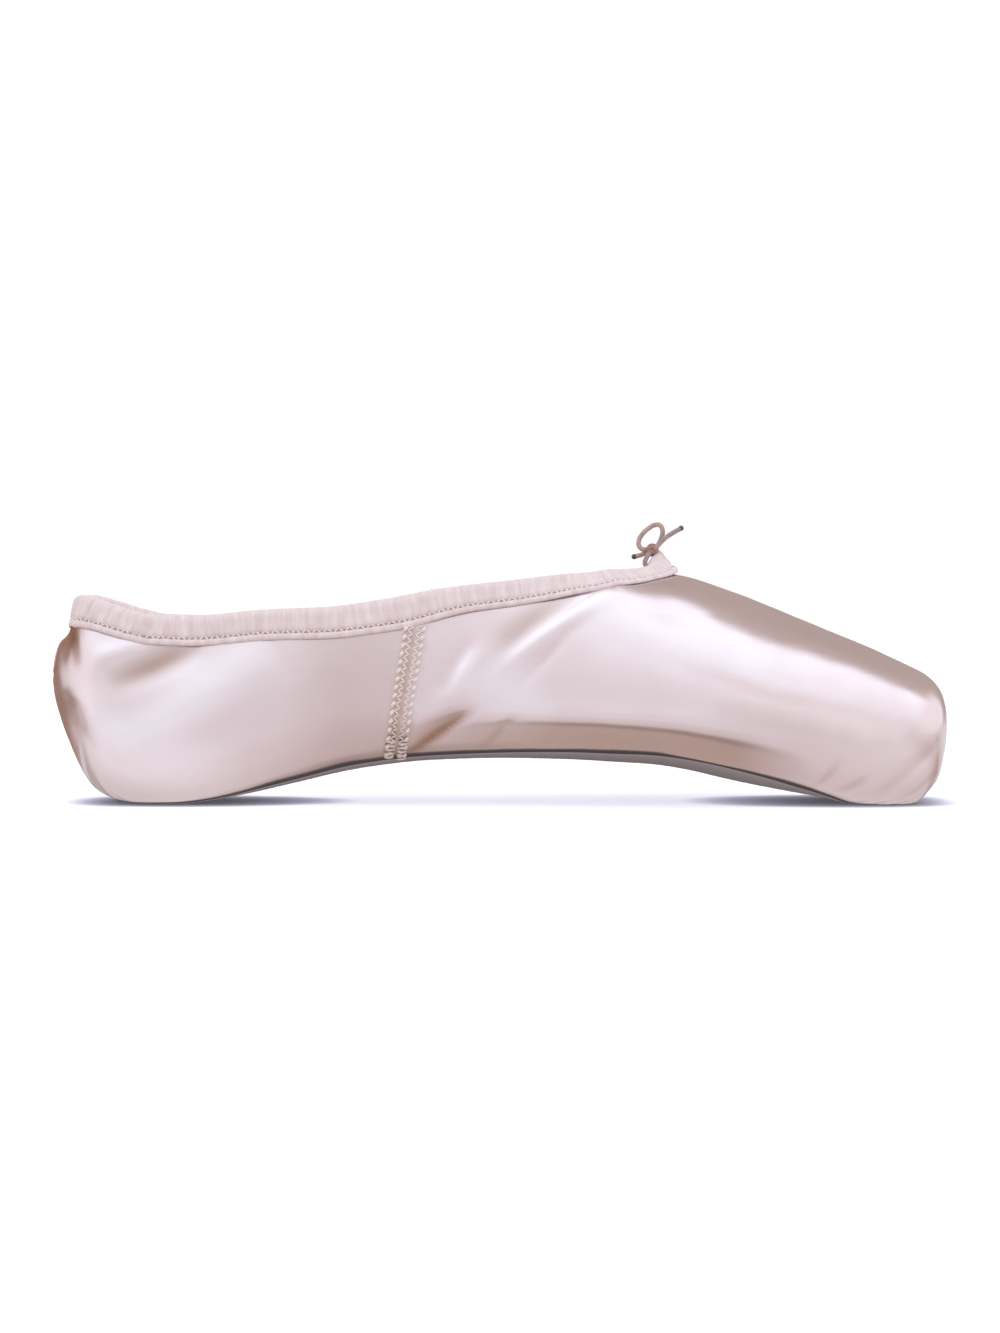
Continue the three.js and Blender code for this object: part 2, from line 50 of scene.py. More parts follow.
# %% [markdown]
# ## The camera
# The photo was taken level with the collar from about a metre away, so the far rim of the
# collar only just shows. A long lens at that place keeps the shoe free of perspective swelling.
# The lens follows from how much of the world the tall picture holds at the shoe.

# %% Place the camera
VIEW_HEIGHT = 359.5 * MM
VIEW_CENTRE = 36.3 * MM
CAMERA_HEIGHT = 55 * MM
CAMERA_DISTANCE = 1.0
SENSOR = 24.0
# the middle of the shoe's length lies this far ahead of the frame's origin
SHIFT = 0.25 * MM

camera_data = bpy.data.cameras.new("camera")
camera_data.sensor_fit = "VERTICAL"
camera_data.sensor_height = SENSOR
camera_data.lens = SENSOR * CAMERA_DISTANCE / VIEW_HEIGHT
camera_data.clip_start = 0.05
camera_data.clip_end = 20
camera = bpy.data.objects.new("camera", camera_data)
bpy.context.scene.collection.objects.link(camera)
camera.location = (SHIFT, -CAMERA_DISTANCE, CAMERA_HEIGHT)
aim = Vector((SHIFT, 0, VIEW_CENTRE)) - camera.location
camera.rotation_euler = aim.to_track_quat("-Z", "Y").to_euler()
bpy.context.scene.camera = camera
print("lens", round(camera_data.lens, 1), "mm")

# %% [markdown]
# ## Helpers for materials
# Cloth, leather and light are all mixed from the same few shader nodes: a noise, a bump, a ramp
# of colours, a sum. A helper for each lets the cells below speak about thread and dye instead of
# sockets. Numbers that are the same all over are set on the shader itself.


# %% Start a material
def new_material(name, colour, roughness, **sockets):
    """A material with a principled shader, and its constants set on the shader itself."""
    material = bpy.data.materials.new(name)
    material.use_nodes = True
    shader = material.node_tree.nodes["Principled BSDF"]
    shader.inputs["Base Color"].default_value = (*colour, 1)
    shader.inputs["Roughness"].default_value = roughness
    for socket, value in sockets.items():
        shader.inputs[socket.replace("_", " ")].default_value = value
    return material


def plug(material, socket, source):
    shader = material.node_tree.nodes["Principled BSDF"]
    material.node_tree.links.new(source, shader.inputs[socket])


print("materials so far:", len(bpy.data.materials))

# %% [markdown]
# Shader nodes are wired the same way each time: make the node, link or set its inputs, take its
# output. One helper does that, and a short one for each kind gives the output straight away. They
# take a material or the sky, as both own a tree of nodes.


# %% Helpers for shader nodes
def add_node(owner, kind, links, **values):
    """A shader node with its settings, and its inputs linked or set by name."""
    node = owner.node_tree.nodes.new(kind)
    for name, value in values.items():
        setattr(node, name, value)
    for name, source in links.items():
        if isinstance(source, bpy.types.NodeSocket):
            owner.node_tree.links.new(source, node.inputs[name])
        else:
            node.inputs[name].default_value = source
    return node


def places_in(owner, space="Object"):
    """Where each point lies: in metres, or across a grid with "UV"."""
    return add_node(owner, "ShaderNodeTexCoord", {}).outputs[space]


def noise_in(owner, place, scale, detail=2.0, roughness=0.5):
    """Soft random clouds, a number at each place."""
    links = {"Vector": place, "Scale": scale, "Detail": detail, "Roughness": roughness}
    return add_node(owner, "ShaderNodeTexNoise", links).outputs["Fac"]


def bump_in(owner, height, strength, depth, below=None):
    """Heights turned into small tilts of the surface, over another bump if there is one."""
    links = {"Height": height, "Strength": strength, "Distance": depth}
    if below is not None:
        links["Normal"] = below
    return add_node(owner, "ShaderNodeBump", links).outputs["Normal"]


def math_in(owner, operation, *values):
    """A sum of numbers, such as ADD, MULTIPLY or ABSOLUTE."""
    node = add_node(owner, "ShaderNodeMath", dict(enumerate(values)), operation=operation)
    return node.outputs["Value"]


def range_in(owner, value, start, end, first=0.0, last=1.0):
    """A number rescaled, so that start to end runs from first to last, and held there."""
    links = {"Value": value, "From Min": start, "From Max": end, "To Min": first, "To Max": last}
    return add_node(owner, "ShaderNodeMapRange", links).outputs["Result"]


def tint_in(owner, share, stops):
    """Colours blended between stops, each a place from 0 to 1 and a colour."""
    ramp = add_node(owner, "ShaderNodeValToRGB", {"Fac": share})
    elements = ramp.color_ramp.elements
    for position, _ in stops[1:-1]:
        elements.new(position)
    for stop, (position, colour) in zip(elements, stops):
        stop.position = position
        stop.color = (*colour, 1)
    return ramp.outputs["Color"]


def mix_in(owner, share, first, second):
    """The first colour where the share is 0, the second where it is 1."""
    if isinstance(second, tuple):
        second = (*second, 1)
    links = {"Fac": share, "Color1": first, "Color2": second}
    return add_node(owner, "ShaderNodeMixRGB", links).outputs["Color"]


print("helpers for", [f.__name__[:-3] for f in (noise_in, bump_in, math_in, tint_in, mix_in)])

# %% [markdown]
# ## Helpers for pieces
# A maker lays each finished piece down with its label. Every piece here rides on the one body of
# the shoe and hides the solids of the imported model that it stands for.


# %% Helpers for pieces
def deselect():
    for thing in bpy.context.selected_objects:
        thing.select_set(False)


def finish_piece(piece, slot, *replaced):
    """Rides on the shoe and hides the CAD nodes that it stands for; the slot is not used."""
    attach(piece, "root")
    if replaced:
        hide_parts(*replaced)
    print(piece.name, len(piece.data.vertices) if piece.type == "MESH" else "curve")


print("solids to dress:", len(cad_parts))

# %% [markdown]
# ## The drawstring
# A thin cotton cord runs inside the collar's casing and comes out at the throat, where it is
# tied in a bow with one loop. Handling has greyed it, and a rusty brown is painted around the knot
# as the shade in its tight turns. Its fibres could be modelled, but at this size clouds of noise in
# the bump and in the colour read as cotton, and the distance from the knot mixes the painted shade
# in.

# %% Spin the cotton
LENGTH = 240 * MM
INSTEP_HEIGHT = 62.6 * MM
CORD_DIAMETER = 1.3 * MM
KNOT_SHARE = 0.671
KNOT_RISE = 5.1 * MM
KNOT = Vector((LENGTH * (KNOT_SHARE - 0.5) + SHIFT, 0, INSTEP_HEIGHT + KNOT_RISE))
KNOT_SHADE_BROWN = (0.30, 0.11, 0.07)
CORD_TINTS = [(0.4, (0.36, 0.29, 0.27)), (0.6, (0.56, 0.38, 0.34))]

cotton_cord = new_material("cotton cord", (0.56, 0.37, 0.33), 0.85, Sheen_Weight=0.3)
cord_place = places_in(cotton_cord)
fibres = noise_in(cotton_cord, cord_place, 2600.0, 3.0)
plug(cotton_cord, "Normal", bump_in(cotton_cord, fibres, 0.5, 0.15 * MM))
greyed = tint_in(cotton_cord, noise_in(cotton_cord, cord_place, 260.0), CORD_TINTS)
to_knot = {0: cord_place, 1: tuple(KNOT)}
knot_gap = add_node(cotton_cord, "ShaderNodeVectorMath", to_knot, operation="DISTANCE")
# painted shade: a rusty brown near the knot, where its turns lie tight
knot_shade = range_in(cotton_cord, knot_gap.outputs["Value"], 0.8 * MM, 2.4 * MM, 0.85, 0.0)
plug(cotton_cord, "Base Color", mix_in(cotton_cord, knot_shade, greyed, KNOT_SHADE_BROWN))
print("knot at", [round(v / MM, 1) for v in KNOT], "mm")

# %% [markdown]
# A cord is a curve with a round bevel: it stays equally thick however it bends, and a few points
# shape it. The points repeat the route of the model, where a mesh would have to be swept by hand.
# One half of the string makes the loop and the long end, the other the short stub.


# %% Tie the drawstring
def cord_curve(name, offsets):
    """A smooth round cord through given points around the knot, in millimetres."""
    data = bpy.data.curves.new(name, "CURVE")
    data.dimensions = "3D"
    data.bevel_depth = CORD_DIAMETER / 2
    data.bevel_resolution = 4
    data.resolution_u = 8
    data.use_fill_caps = True
    data.materials.append(cotton_cord)
    spline = data.splines.new("BEZIER")
    spline.bezier_points.add(len(offsets) - 1)
    for point, offset in zip(spline.bezier_points, offsets):
        point.co = KNOT + Vector(offset) * MM
        point.handle_left_type = "AUTO"
        point.handle_right_type = "AUTO"
    piece = bpy.data.objects.new(name, data)
    bpy.context.scene.collection.objects.link(piece)
    return piece


drawstring = cord_curve(
    "drawstring",
    [
        (-1.2, -1.2, -5.0), (-2.0, -1.7, -3.6), (-1.5, -1.4, -1.9), (-0.4, -0.5, -0.6),
        (0.3, 0.4, 0.3), (-1.0, 0.6, 0.2), (-2.4, 0.5, 0.2), (-3.4, 0.6, 0.9), (-3.6, 0.7, 2.4),
        (-2.7, 0.8, 4.2), (-0.9, 1.0, 5.9), (0.9, 1.0, 6.8), (2.1, 1.0, 6.7), (2.8, 0.9, 5.5),
        (2.6, 0.7, 3.6), (1.7, 0.4, 1.6), (0.6, 0.0, 0.2), (0.7, -0.8, 0.2), (1.5, -1.3, 1.2),
        (3.3, -1.8, 3.1), (5.5, -1.7, 4.6), (7.8, -1.2, 5.9),
    ],
)
stub = cord_curve(
    "drawstring_stub",
    [
        (-1.0, 1.2, -5.0), (0.6, 1.8, -3.8), (0.9, 1.5, -1.9), (0.2, 0.7, -0.4), (-1.2, 1.7, -0.5),
        (-3.0, 2.3, -1.3), (-5.0, 2.0, -1.8),
    ],
)
route = drawstring.data.splines[0].bezier_points
chords = sum((b.co - a.co).length for a, b in zip(route, route[1:]))
print("drawstring about", round(chords / MM, 1), "mm between its points")

# %% [markdown]
# The knot itself is two tight turns of the same cord. The cord could be led through it, but the
# turns lie so close that only their outside shows. A torus stands for each turn; both are tilted
# against each other and joined, which reads as a small hard knot.

# %% Pull the knot tight
KNOT_TURN = 1.05 * MM
# tilt of a turn in radians and its lift in millimetres
TURNS = [(0.5, -0.25), (-0.7, 0.35)]


def join_meshes(parts, name, material):
    """One smooth mesh out of several, its points placed in the world."""
    deselect()
    for part in parts:
        part.select_set(True)
    bpy.context.view_layer.objects.active = parts[-1]
    bpy.ops.object.join()
    piece = bpy.context.active_object
    piece.name = name
    bpy.ops.object.transform_apply(location=True, rotation=True, scale=True)
    bpy.ops.object.shade_smooth()
    piece.data.materials.append(material)
    return piece


turns = []
for tilt, lift in TURNS:
    bpy.ops.mesh.primitive_torus_add(
        major_segments=28,
        minor_segments=12,
        major_radius=KNOT_TURN,
        minor_radius=CORD_DIAMETER / 2,
        location=KNOT + Vector((0.1, 0, lift)) * MM,
        rotation=(math.pi / 2 + tilt, 0.4 * tilt, 0.3),
    )
    turns.append(bpy.context.active_object)
knot = join_meshes(turns, "drawstring_tie", cotton_cord)
print("knot", round(knot.dimensions.z / MM, 1), "mm tall")

# %% [markdown]
# Both ends of the cord are singed so that they don't fray, which leaves hard dark tips. Paint on
# the curve would colour its whole length, so a small sphere caps each end.

# %% Singe the ends
TIP_RADIUS = 0.74 * MM
TIP_PLACES = [(7.7, -1.2, 5.85), (-4.8, 2.0, -1.75)]

singed = new_material("singed cord end", (0.13, 0.10, 0.095), 0.7)
tips = []
for offset in TIP_PLACES:
    bpy.ops.mesh.primitive_uv_sphere_add(
        segments=16, ring_count=10, radius=TIP_RADIUS, location=KNOT + Vector(offset) * MM
    )
    tips.append(bpy.context.active_object)
cord_tips = join_meshes(tips, "drawstring_tips", singed)
print("tips", [round(v / MM, 1) for v in cord_tips.dimensions], "mm apart and thick")

# %% [markdown]
# The cord's pieces ride on the shoe in place of the imported drawstring's solids.

finish_piece(drawstring, "cord", "drawstring_lead_near", "drawstring_loop", "drawstring_end_near")
finish_piece(stub, "cord", "drawstring_lead_far", "drawstring_end_far")
finish_piece(knot, "cord", "drawstring_knot")
finish_piece(cord_tips, "cord")

# %% [markdown]
# ## The last
# Shoes are shaped over a last, so the lesson rebuilds that form first: cross sections at shares
# of the length, each a rounded oval with its own width, underside, widest place and crest.
# Smooth curves through the table's columns give a section anywhere along the foot.

# %% Lay out the last
HEEL_WIDTH = 54 * MM
WAIST_WIDTH = 56 * MM
BALL_WIDTH = 76 * MM
TOE_WIDTH = 51 * MM
HEEL_HEIGHT = 56 * MM
TOE_HEIGHT = 35 * MM
ARCH_LIFT = 12 * MM
REGIONS = {
    "heel": (HEEL_WIDTH, HEEL_HEIGHT),
    "waist": (WAIST_WIDTH, INSTEP_HEIGHT),
    "ball": (BALL_WIDTH, INSTEP_HEIGHT),
    "toe": (TOE_WIDTH, TOE_HEIGHT),
}
# along, region, wide, crest, belly, under, arch, low, high
SECTIONS = [
    (0, "heel", 0, 0.625, 0.61, 0.595, 0, 2, 2),
    (0.002, "heel", 0.22, 0.693, 0.6, 0.51, 0, 2, 2),
    (0.007, "heel", 0.38, 0.757, 0.57, 0.42, 0, 2, 2),
    (0.016, "heel", 0.555, 0.8, 0.52, 0.31, 0, 2.1, 2),
    (0.028, "heel", 0.7, 0.955, 0.46, 0.19, 0, 2.2, 2),
    (0.043, "heel", 0.82, 1.09, 0.41, 0.085, 0, 2.8, 2),
    (0.063, "heel", 0.915, 1.155, 0.37, 0.028, 0, 3.6, 2),
    (0.09, "heel", 0.975, 1.19, 0.33, 0.004, 0, 4.4, 2),
    (0.13, "heel", 1, 1.23, 0.31, 0.003, 0, 4.6, 2),
    (0.165, "heel", 1.01, 1.27, 0.33, 0.002, 0.06, 4.2, 2),
    (0.21, "waist", 0.98, 1.17, 0.33, 0, 0.21, 3.4, 2),
    (0.275, "waist", 0.98, 1.21, 0.38, 0, 0.5, 2.9, 2),
    (0.34, "waist", 0.985, 1.23, 0.42, 0, 0.79, 2.5, 2),
    (0.42, "waist", 1, 1.23, 0.44, 0, 0.98, 2.4, 2),
    (0.5, "waist", 1.07, 1.205, 0.44, 0, 1.03, 2.35, 2),
    (0.58, "ball", 0.87, 1.108, 0.42, 0, 1, 2.3, 2),
    (0.63, "ball", 0.94, 1.04, 0.4, 0, 0.94, 2.25, 2),
    (0.67, "ball", 0.978, 0.997, 0.39, 0, 0.895, 2.2, 1.95),
    (0.712, "ball", 1, 0.97, 0.37, 0, 0.76, 2.2, 1.95),
    (0.76, "ball", 0.995, 0.907, 0.345, 0, 0.53, 2.2, 1.95),
    (0.82, "ball", 0.935, 0.812, 0.315, 0, 0.3, 2.6, 2),
    (0.87, "ball", 0.86, 0.733, 0.285, 0, 0.12, 3.0, 2.1),
    (0.9, "toe", 1.21, 1.23, 0.48, -0.01, 0, 3.5, 2.15),
    (0.94, "toe", 1.11, 1.104, 0.48, -0.018, 0, 3.8, 2.2),
    (0.963, "toe", 1.045, 1.028, 0.49, 0, 0, 3.6, 2.25),
    (0.975, "toe", 0.985, 0.984, 0.51, 0.075, 0, 3.2, 2.3),
    (0.986, "toe", 0.885, 0.92, 0.54, 0.16, 0, 2.8, 2.3),
    (0.9935, "toe", 0.69, 0.85, 0.58, 0.31, 0, 2.2, 2.2),
    (0.998, "toe", 0.43, 0.755, 0.61, 0.46, 0, 2, 2),
    (1, "toe", 0, 0.64, 0.625, 0.61, 0, 2, 2),
]
print(len(SECTIONS), "sections in", len(REGIONS), "regions")

# %% [markdown]
# Between two sections the last has to run smoothly, and it may never bulge past either of them. A
# plain spline overshoots where widths change fast, so each column of the table gets a curve whose
# slopes are held back, and a short running mean that rounds what is left.

# %% Smooth the sections
ROUNDING = 7 * MM


def along(share):
    """Place on the X axis of a share of the shoe's length."""
    return (np.asarray(share) - 0.5) * LENGTH + SHIFT


def smooth_curve(xs, ys):
    """A smooth curve through points that never swings past them."""
    xs = np.asarray(xs, float)
    ys = np.asarray(ys, float)
    slopes = np.diff(ys) / np.diff(xs)
    product = slopes[:-1] * slopes[1:]
    total = slopes[:-1] + slopes[1:]
    inner = np.where(product > 0, 2 * product / np.where(product > 0, total, 1), 0)
    tangents = np.concatenate([slopes[:1], inner, slopes[-1:]])

    def at(x):
        held = np.clip(x, xs[0], xs[-1])
        i = np.clip(np.searchsorted(xs, held, side="right") - 1, 0, len(xs) - 2)
        span = xs[i + 1] - xs[i]
        t = (held - xs[i]) / span
        rest = 1 - t
        return (
            ys[i] * (1 + 2 * t) * rest * rest
            + tangents[i] * span * t * rest * rest
            + ys[i + 1] * t * t * (3 - 2 * t)
            - tangents[i + 1] * span * t * t * rest
        )

    return at


def column(value):
    """A column of the table along the shoe, rounded a little where two rows meet."""
    places = [along(row[0]) for row in SECTIONS]
    curve = smooth_curve(places, [value(row) for row in SECTIONS])
    xs = along(0.5 - 0.5 * np.cos(np.linspace(0, math.pi, 6001)))
    to_end = np.minimum(xs - xs[0], xs[-1] - xs)
    reach = ROUNDING * np.clip(to_end / (20 * MM), 0, 1) ** 1.5
    steps = np.linspace(-1, 1, 9)
    weights = np.exp(-3 * steps**2)
    values = sum(w * curve(xs + k * reach) for w, k in zip(weights / weights.sum(), steps))
    return lambda x: np.interp(x, xs, values)


half_width = column(lambda row: row[2] * REGIONS[row[1]][0] / 2)
crest = column(lambda row: row[3] * REGIONS[row[1]][1])
belly = column(lambda row: row[4] * REGIONS[row[1]][1])
under = column(lambda row: row[5] * REGIONS[row[1]][1] + row[6] * ARCH_LIFT)
low = column(lambda row: row[7])
high = column(lambda row: row[8])
print("ball half width", round(float(half_width(along(0.712))) / MM, 1), "mm")


# %% [markdown]
# A point of the last is found by walking around a section. Each section has an upper and a lower
# half that meet at its widest place, and each half is a power of sine and cosine: a circle where
# its squareness is two, and boxier above that.


# %% Walk around a section
THIN = 0.2 * MM


def half_section(x, upper):
    """Squareness and height of a section's upper half, or else of its lower half."""
    square = np.where(upper, high(x), low(x))
    return square, np.where(upper, crest(x) - belly(x), belly(x) - under(x))


def ring_point(x, turn):
    """Across and up at a place along the last; turn 0 is the bottom line, 0.5 the crest."""
    angle = turn * 2 * math.pi
    across = np.sin(angle)
    up = -np.cos(angle)
    square, reach = half_section(x, up >= 0)
    y = half_width(x) * np.sign(across) * np.abs(across) ** (2 / square)
    z = belly(x) + reach * np.sign(up) * np.abs(up) ** (2 / square)
    return y, z


print("ring at the middle", [np.round(v / MM, 1) for v in ring_point(along(0.5), 0.25)], "mm")

# %% [markdown]
# To seat a strip or a stitch on the last, a nearby point is pulled straight onto its section, and
# the way out of the surface comes from how fast the oval's formula changes around the point. The
# mesh's own normals would do too, but a formula is smooth however coarse the mesh is.

# %% Seat points on the last
def oval(points):
    """1 on the last's surface, less inside and more outside."""
    x, y, z = points[..., 0], points[..., 1], points[..., 2]
    rise = z - belly(x)
    square, reach = half_section(x, rise >= 0)
    wide = np.abs(y) / np.maximum(half_width(x), THIN)
    tall = np.abs(rise) / np.maximum(reach, THIN)
    return (wide**square + tall**square) ** (1 / square)


def onto_last(points):
    """Points pulled onto the surface within their own cross section."""
    pulled = points.copy()
    centre = belly(points[..., 0])
    size = oval(points)
    pulled[..., 1] = points[..., 1] / size
    pulled[..., 2] = centre + (points[..., 2] - centre) / size
    return pulled


def unit(vectors):
    """The same directions, each of length one."""
    return vectors / np.linalg.norm(vectors, axis=-1, keepdims=True)


def outwards(points):
    """Unit directions that leave the surface."""
    step = 0.05 * MM
    slopes = []
    for axis in range(3):
        ahead = points.copy()
        behind = points.copy()
        ahead[..., axis] += step
        behind[..., axis] -= step
        slopes.append(oval(ahead) - oval(behind))
    return unit(np.stack(slopes, axis=-1))


def underside(x, y):
    """Height of the last's underside at a place on its plan."""
    share = np.clip(np.abs(y) / np.maximum(half_width(x), THIN), 0, 1)
    square = low(x)
    return belly(x) - (belly(x) - under(x)) * (1 - share**square) ** (1 / square)


crest_point = np.array([[float(along(0.5)), 0.0, float(crest(along(0.5)))]])
print("way out at the crest", outwards(crest_point).round(2))


# %% [markdown]
# ## The collar line
# The collar dips behind the ankle bone, rises to a small peak at the heel and runs up to the
# round throat. Its height comes from a short table, and where that height meets the last the line
# runs across the last's surface.

# %% Draw the collar line
# along, region, height of the folded edge as a share of the region's height
COLLAR = [
    (-0.03, "heel", 0.9), (0.016, "heel", 0.965), (0.026, "heel", 0.995), (0.038, "heel", 1.002),
    (0.062, "heel", 0.975), (0.09, "heel", 0.937), (0.118, "heel", 0.91), (0.16, "heel", 0.905),
    (0.24, "waist", 0.835), (0.31, "waist", 0.847), (0.37, "waist", 0.878), (0.44, "waist", 0.927),
    (0.51, "waist", 0.957), (0.58, "ball", 0.985), (0.6417, "ball", 0.994), (0.663, "ball", 0.996),
    (0.68, "ball", 0.998),
]
collar_height = smooth_curve(
    [along(row[0]) for row in COLLAR],
    [row[2] * REGIONS[row[1]][1] for row in COLLAR],
)
THROAT_FRONT = float(along(0.669))
THROAT_ROUND = 18 * MM
THROAT_HALF = 17 * MM
FOLD = 1.1 * MM


def collar_gap(x):
    """How far the last's crest stands above the satin's cut edge."""
    return crest(x) - (collar_height(x) - FOLD)


def crossing(inside, outside):
    """Where the crest meets the collar, between a place under it and one past it."""
    for _ in range(50):
        middle = (inside + outside) / 2
        if collar_gap(middle) > 0:
            inside = middle
        else:
            outside = middle
    return inside


heel_x = crossing(float(along(0.1)), float(along(0.0)))
print("throat at", round(THROAT_FRONT / MM, 1), "mm, heel edge at", round(heel_x / MM, 1), "mm")

# %% [markdown]
# Seen from above the opening is as wide as the last where the last rises past that height, and it
# ends in the round throat. Walking around it once gives a closed line. A running mean takes out
# its corners, and it is then measured and cut into equal steps.


# %% Follow the collar around
def edge_half(x):
    """Half width of the opening: where the last rises past the collar, or the round throat."""
    z = collar_height(x) - FOLD
    rise = np.clip((z - belly(x)) / (crest(x) - belly(x)), 0, 1)
    cut = half_width(x) * (1 - rise ** high(x)) ** (1 / high(x))
    into = np.clip((x - (THROAT_FRONT - THROAT_ROUND)) / THROAT_ROUND, 0, 1)
    throat = THROAT_HALF * np.sqrt(1 - into**2) * (x > THROAT_FRONT - 2 * THROAT_ROUND)
    return np.maximum(cut * np.sqrt(1 - into**2), throat)


def collar_loop(count):
    """Evenly spaced points of the collar line, from the throat along the near side."""
    angle = np.linspace(0, 2 * math.pi, 6000, endpoint=False)
    middle = (THROAT_FRONT + heel_x) / 2
    x = middle + (THROAT_FRONT - heel_x) / 2 * np.cos(angle)
    y = -np.sign(np.sin(angle)) * edge_half(x)
    share = np.clip(np.abs(y) / half_width(x), 0, 1)
    z = belly(x) + (crest(x) - belly(x)) * (1 - share ** high(x)) ** (1 / high(x))
    line = np.stack([x, y, z], axis=-1)
    for _ in range(60):
        line = (np.roll(line, 1, axis=0) + 2 * line + np.roll(line, -1, axis=0)) / 4
    line = onto_last(line)
    closed = np.vstack([line, line[:1]])
    steps = np.linalg.norm(np.diff(closed, axis=0), axis=1)
    reach = np.concatenate([[0], np.cumsum(steps)])
    even = np.linspace(0, reach[-1], count, endpoint=False)
    points = np.stack([np.interp(even, reach, closed[:, k]) for k in range(3)], axis=-1)
    return points, reach[-1]


collar_points, collar_length = collar_loop(720)
print("collar", round(collar_length / MM), "mm around")

# %% [markdown]
# ## Creases
# Satin pulled over a stiff box shows soft folds where it was eased: a bright ridge from the waist
# up to the casing, a fold that starts at the side seam, small dents around the heel. Each is a
# short line in the side view, in millimetres, with a width and a depth. A positive
# height is a ridge and a negative one a trough, and both fade out at their ends. The last number
# says how much painted shade browns the satin along the crease, or, where it is negative, how
# much painted highlight brightens it.

# %% List the creases
# name, side (-1 near, 1 far, 0 both), line of (x, z), half width, height, painted shade (painted
# highlight where negative)
CREASES = [
    (
        "quarter belly", 0, [(-103, 13), (-92, 20), (-83, 25.5), (-75, 31), (-66, 37), (-58, 42)],
        6.5, 1.5, -0.95,
    ),
    ("quarter hollow", 0, [(-50, 12), (-42, 22), (-36, 34)], 10.0, -0.5, 0.05),
    (
        "heel oval dent", 0, [(-104, 31.5), (-99, 33.5), (-92, 36.2), (-84, 40), (-78, 43)],
        3.6, -1.6, 0.65,
    ),
    ("heel oval brow", 0, [(-109, 38), (-101, 40.5), (-93, 42.5)], 2.6, 0.8, -0.25),
    ("heel upper dent", 0, [(-114.5, 47.5), (-113.2, 42.5), (-111.6, 36.5)], 1.5, -0.4, 0.95),
    ("heel low dent", 0, [(-116, 31.5), (-113.5, 25), (-110, 19), (-105.5, 13.5)], 2.1, -0.5, 0.6),
    ("heel low roll", 0, [(-110, 32), (-106, 24), (-101, 16), (-97, 9)], 4.0, 0.6, -0.4),
    ("heel light", 0, [(-118, 15), (-106, 15), (-96, 12), (-84, 9), (-66, 8)], 9.0, 0.0, -1.0),
    ("waist light", 0, [(-15, 30), (-5, 34), (6, 29), (16, 24)], 8.0, 0.0, -0.7),
    (
        "pull ridge", 0, [(0, 35), (4, 38.7), (10.5, 44), (18, 49.3), (26, 54.6), (31, 58)],
        2.1, 1.2, -0.6,
    ),
    ("pull trough above", 0, [(-4, 38), (2, 43), (8, 48), (15, 52.8), (22, 56.5)], 3.2, -0.6, 0.42),
    ("pull trough below", 0, [(3, 34.5), (9, 39.5), (16, 45), (23, 50)], 1.4, -0.5, 0.1),
    ("fine pull", 0, [(3.5, 30.5), (8, 35.2), (12.6, 39.8), (17.5, 44.5)], 1.1, -0.4, 0.3),
    ("waist pull", 0, [(-15, 29), (-12, 36.5), (-7, 44)], 2.2, -0.6, 0.15),
    ("waist pull ridge", 0, [(-11, 28), (-8.5, 36), (-3, 43)], 2.2, 0.5, -0.15),
    (
        "seam fold", 0, [(-27.5, 11.8), (-22, 15.4), (-16, 19.4), (-11, 22.8), (-6, 26)],
        1.3, -1.5, 1.0,
    ),
    ("seam fold shade", 0, [(-27, 15.5), (-21, 19), (-15, 23.5), (-9, 28)], 2.6, 0.2, 0.35),
    ("seam roll", 0, [(-24, 20.5), (-17, 25), (-12, 30), (-8.8, 36), (-6.5, 43)], 3.0, 0.8, -0.1),
    ("low fold", 0, [(-6, 14.5), (-2.5, 17.5), (1.5, 21.5), (6, 24.5)], 1.0, -0.5, 0.3),
    ("arch roll", 0, [(-14, 20), (4, 23), (24, 23), (48, 21.5), (76, 15)], 3.5, 0.7, 0.0),
    ("arch tuck", 0, [(-16, 14.5), (4, 17), (24, 17), (48, 15.5), (76, 10)], 3.0, -0.9, 0.1),
    ("box shoulder", 0, [(70, 38), (84, 32), (98, 26), (110, 21)], 8.0, -0.5, 0.0),
    ("wing hollow", 0, [(31, 53), (38, 53), (45, 51.5), (51, 49), (56, 46)], 4.5, -0.85, -0.15),
    ("vamp pull", 0, [(44, 38), (59, 33), (68, 29.5), (87, 25.7), (104, 21.5)], 2.2, -0.22, 0.14),
    ("box shade", 0, [(54, 23), (72, 23), (95, 17), (110, 15)], 6.0, 0.0, 0.16),
    ("toe tip shade", 0, [(107, 21), (112, 16), (117, 10)], 3.5, 0.0, 0.3),
    ("box side", 0, [(60, 26), (80, 21), (100, 15)], 7.0, 0.35, 0.0),
    ("toe pull one", 0, [(82, 4.5), (85.5, 8), (89, 12)], 0.9, -0.3, 0.3),
    ("toe pull two", 0, [(88, 3.5), (93, 6.0), (97, 8.5)], 0.9, -0.25, 0.3),
    ("toe pull three", 0, [(97, 2.5), (102, 5.5), (108, 8)], 1.0, -0.2, 0.1),
    ("box edge", 0, [(99, 3), (106, 8.5), (113, 14), (118, 19)], 1.5, -0.3, 0.15),
    ("box edge ridge", 0, [(102, 2), (108, 6.5), (115, 12)], 1.8, 0.25, -0.1),
    ("box crease", 0, [(106, 2), (111, 5.5), (116.5, 10)], 0.9, -0.25, 0.2),
]
print(len(CREASES), "creases")

# %% [markdown]
# Sculpting would place the folds too, but not twice alike and not by numbers. Here each point of
# the satin finds its nearest place on a crease's line: the push falls off like a bell to both
# sides and like a sine towards both ends, and all creases add up.

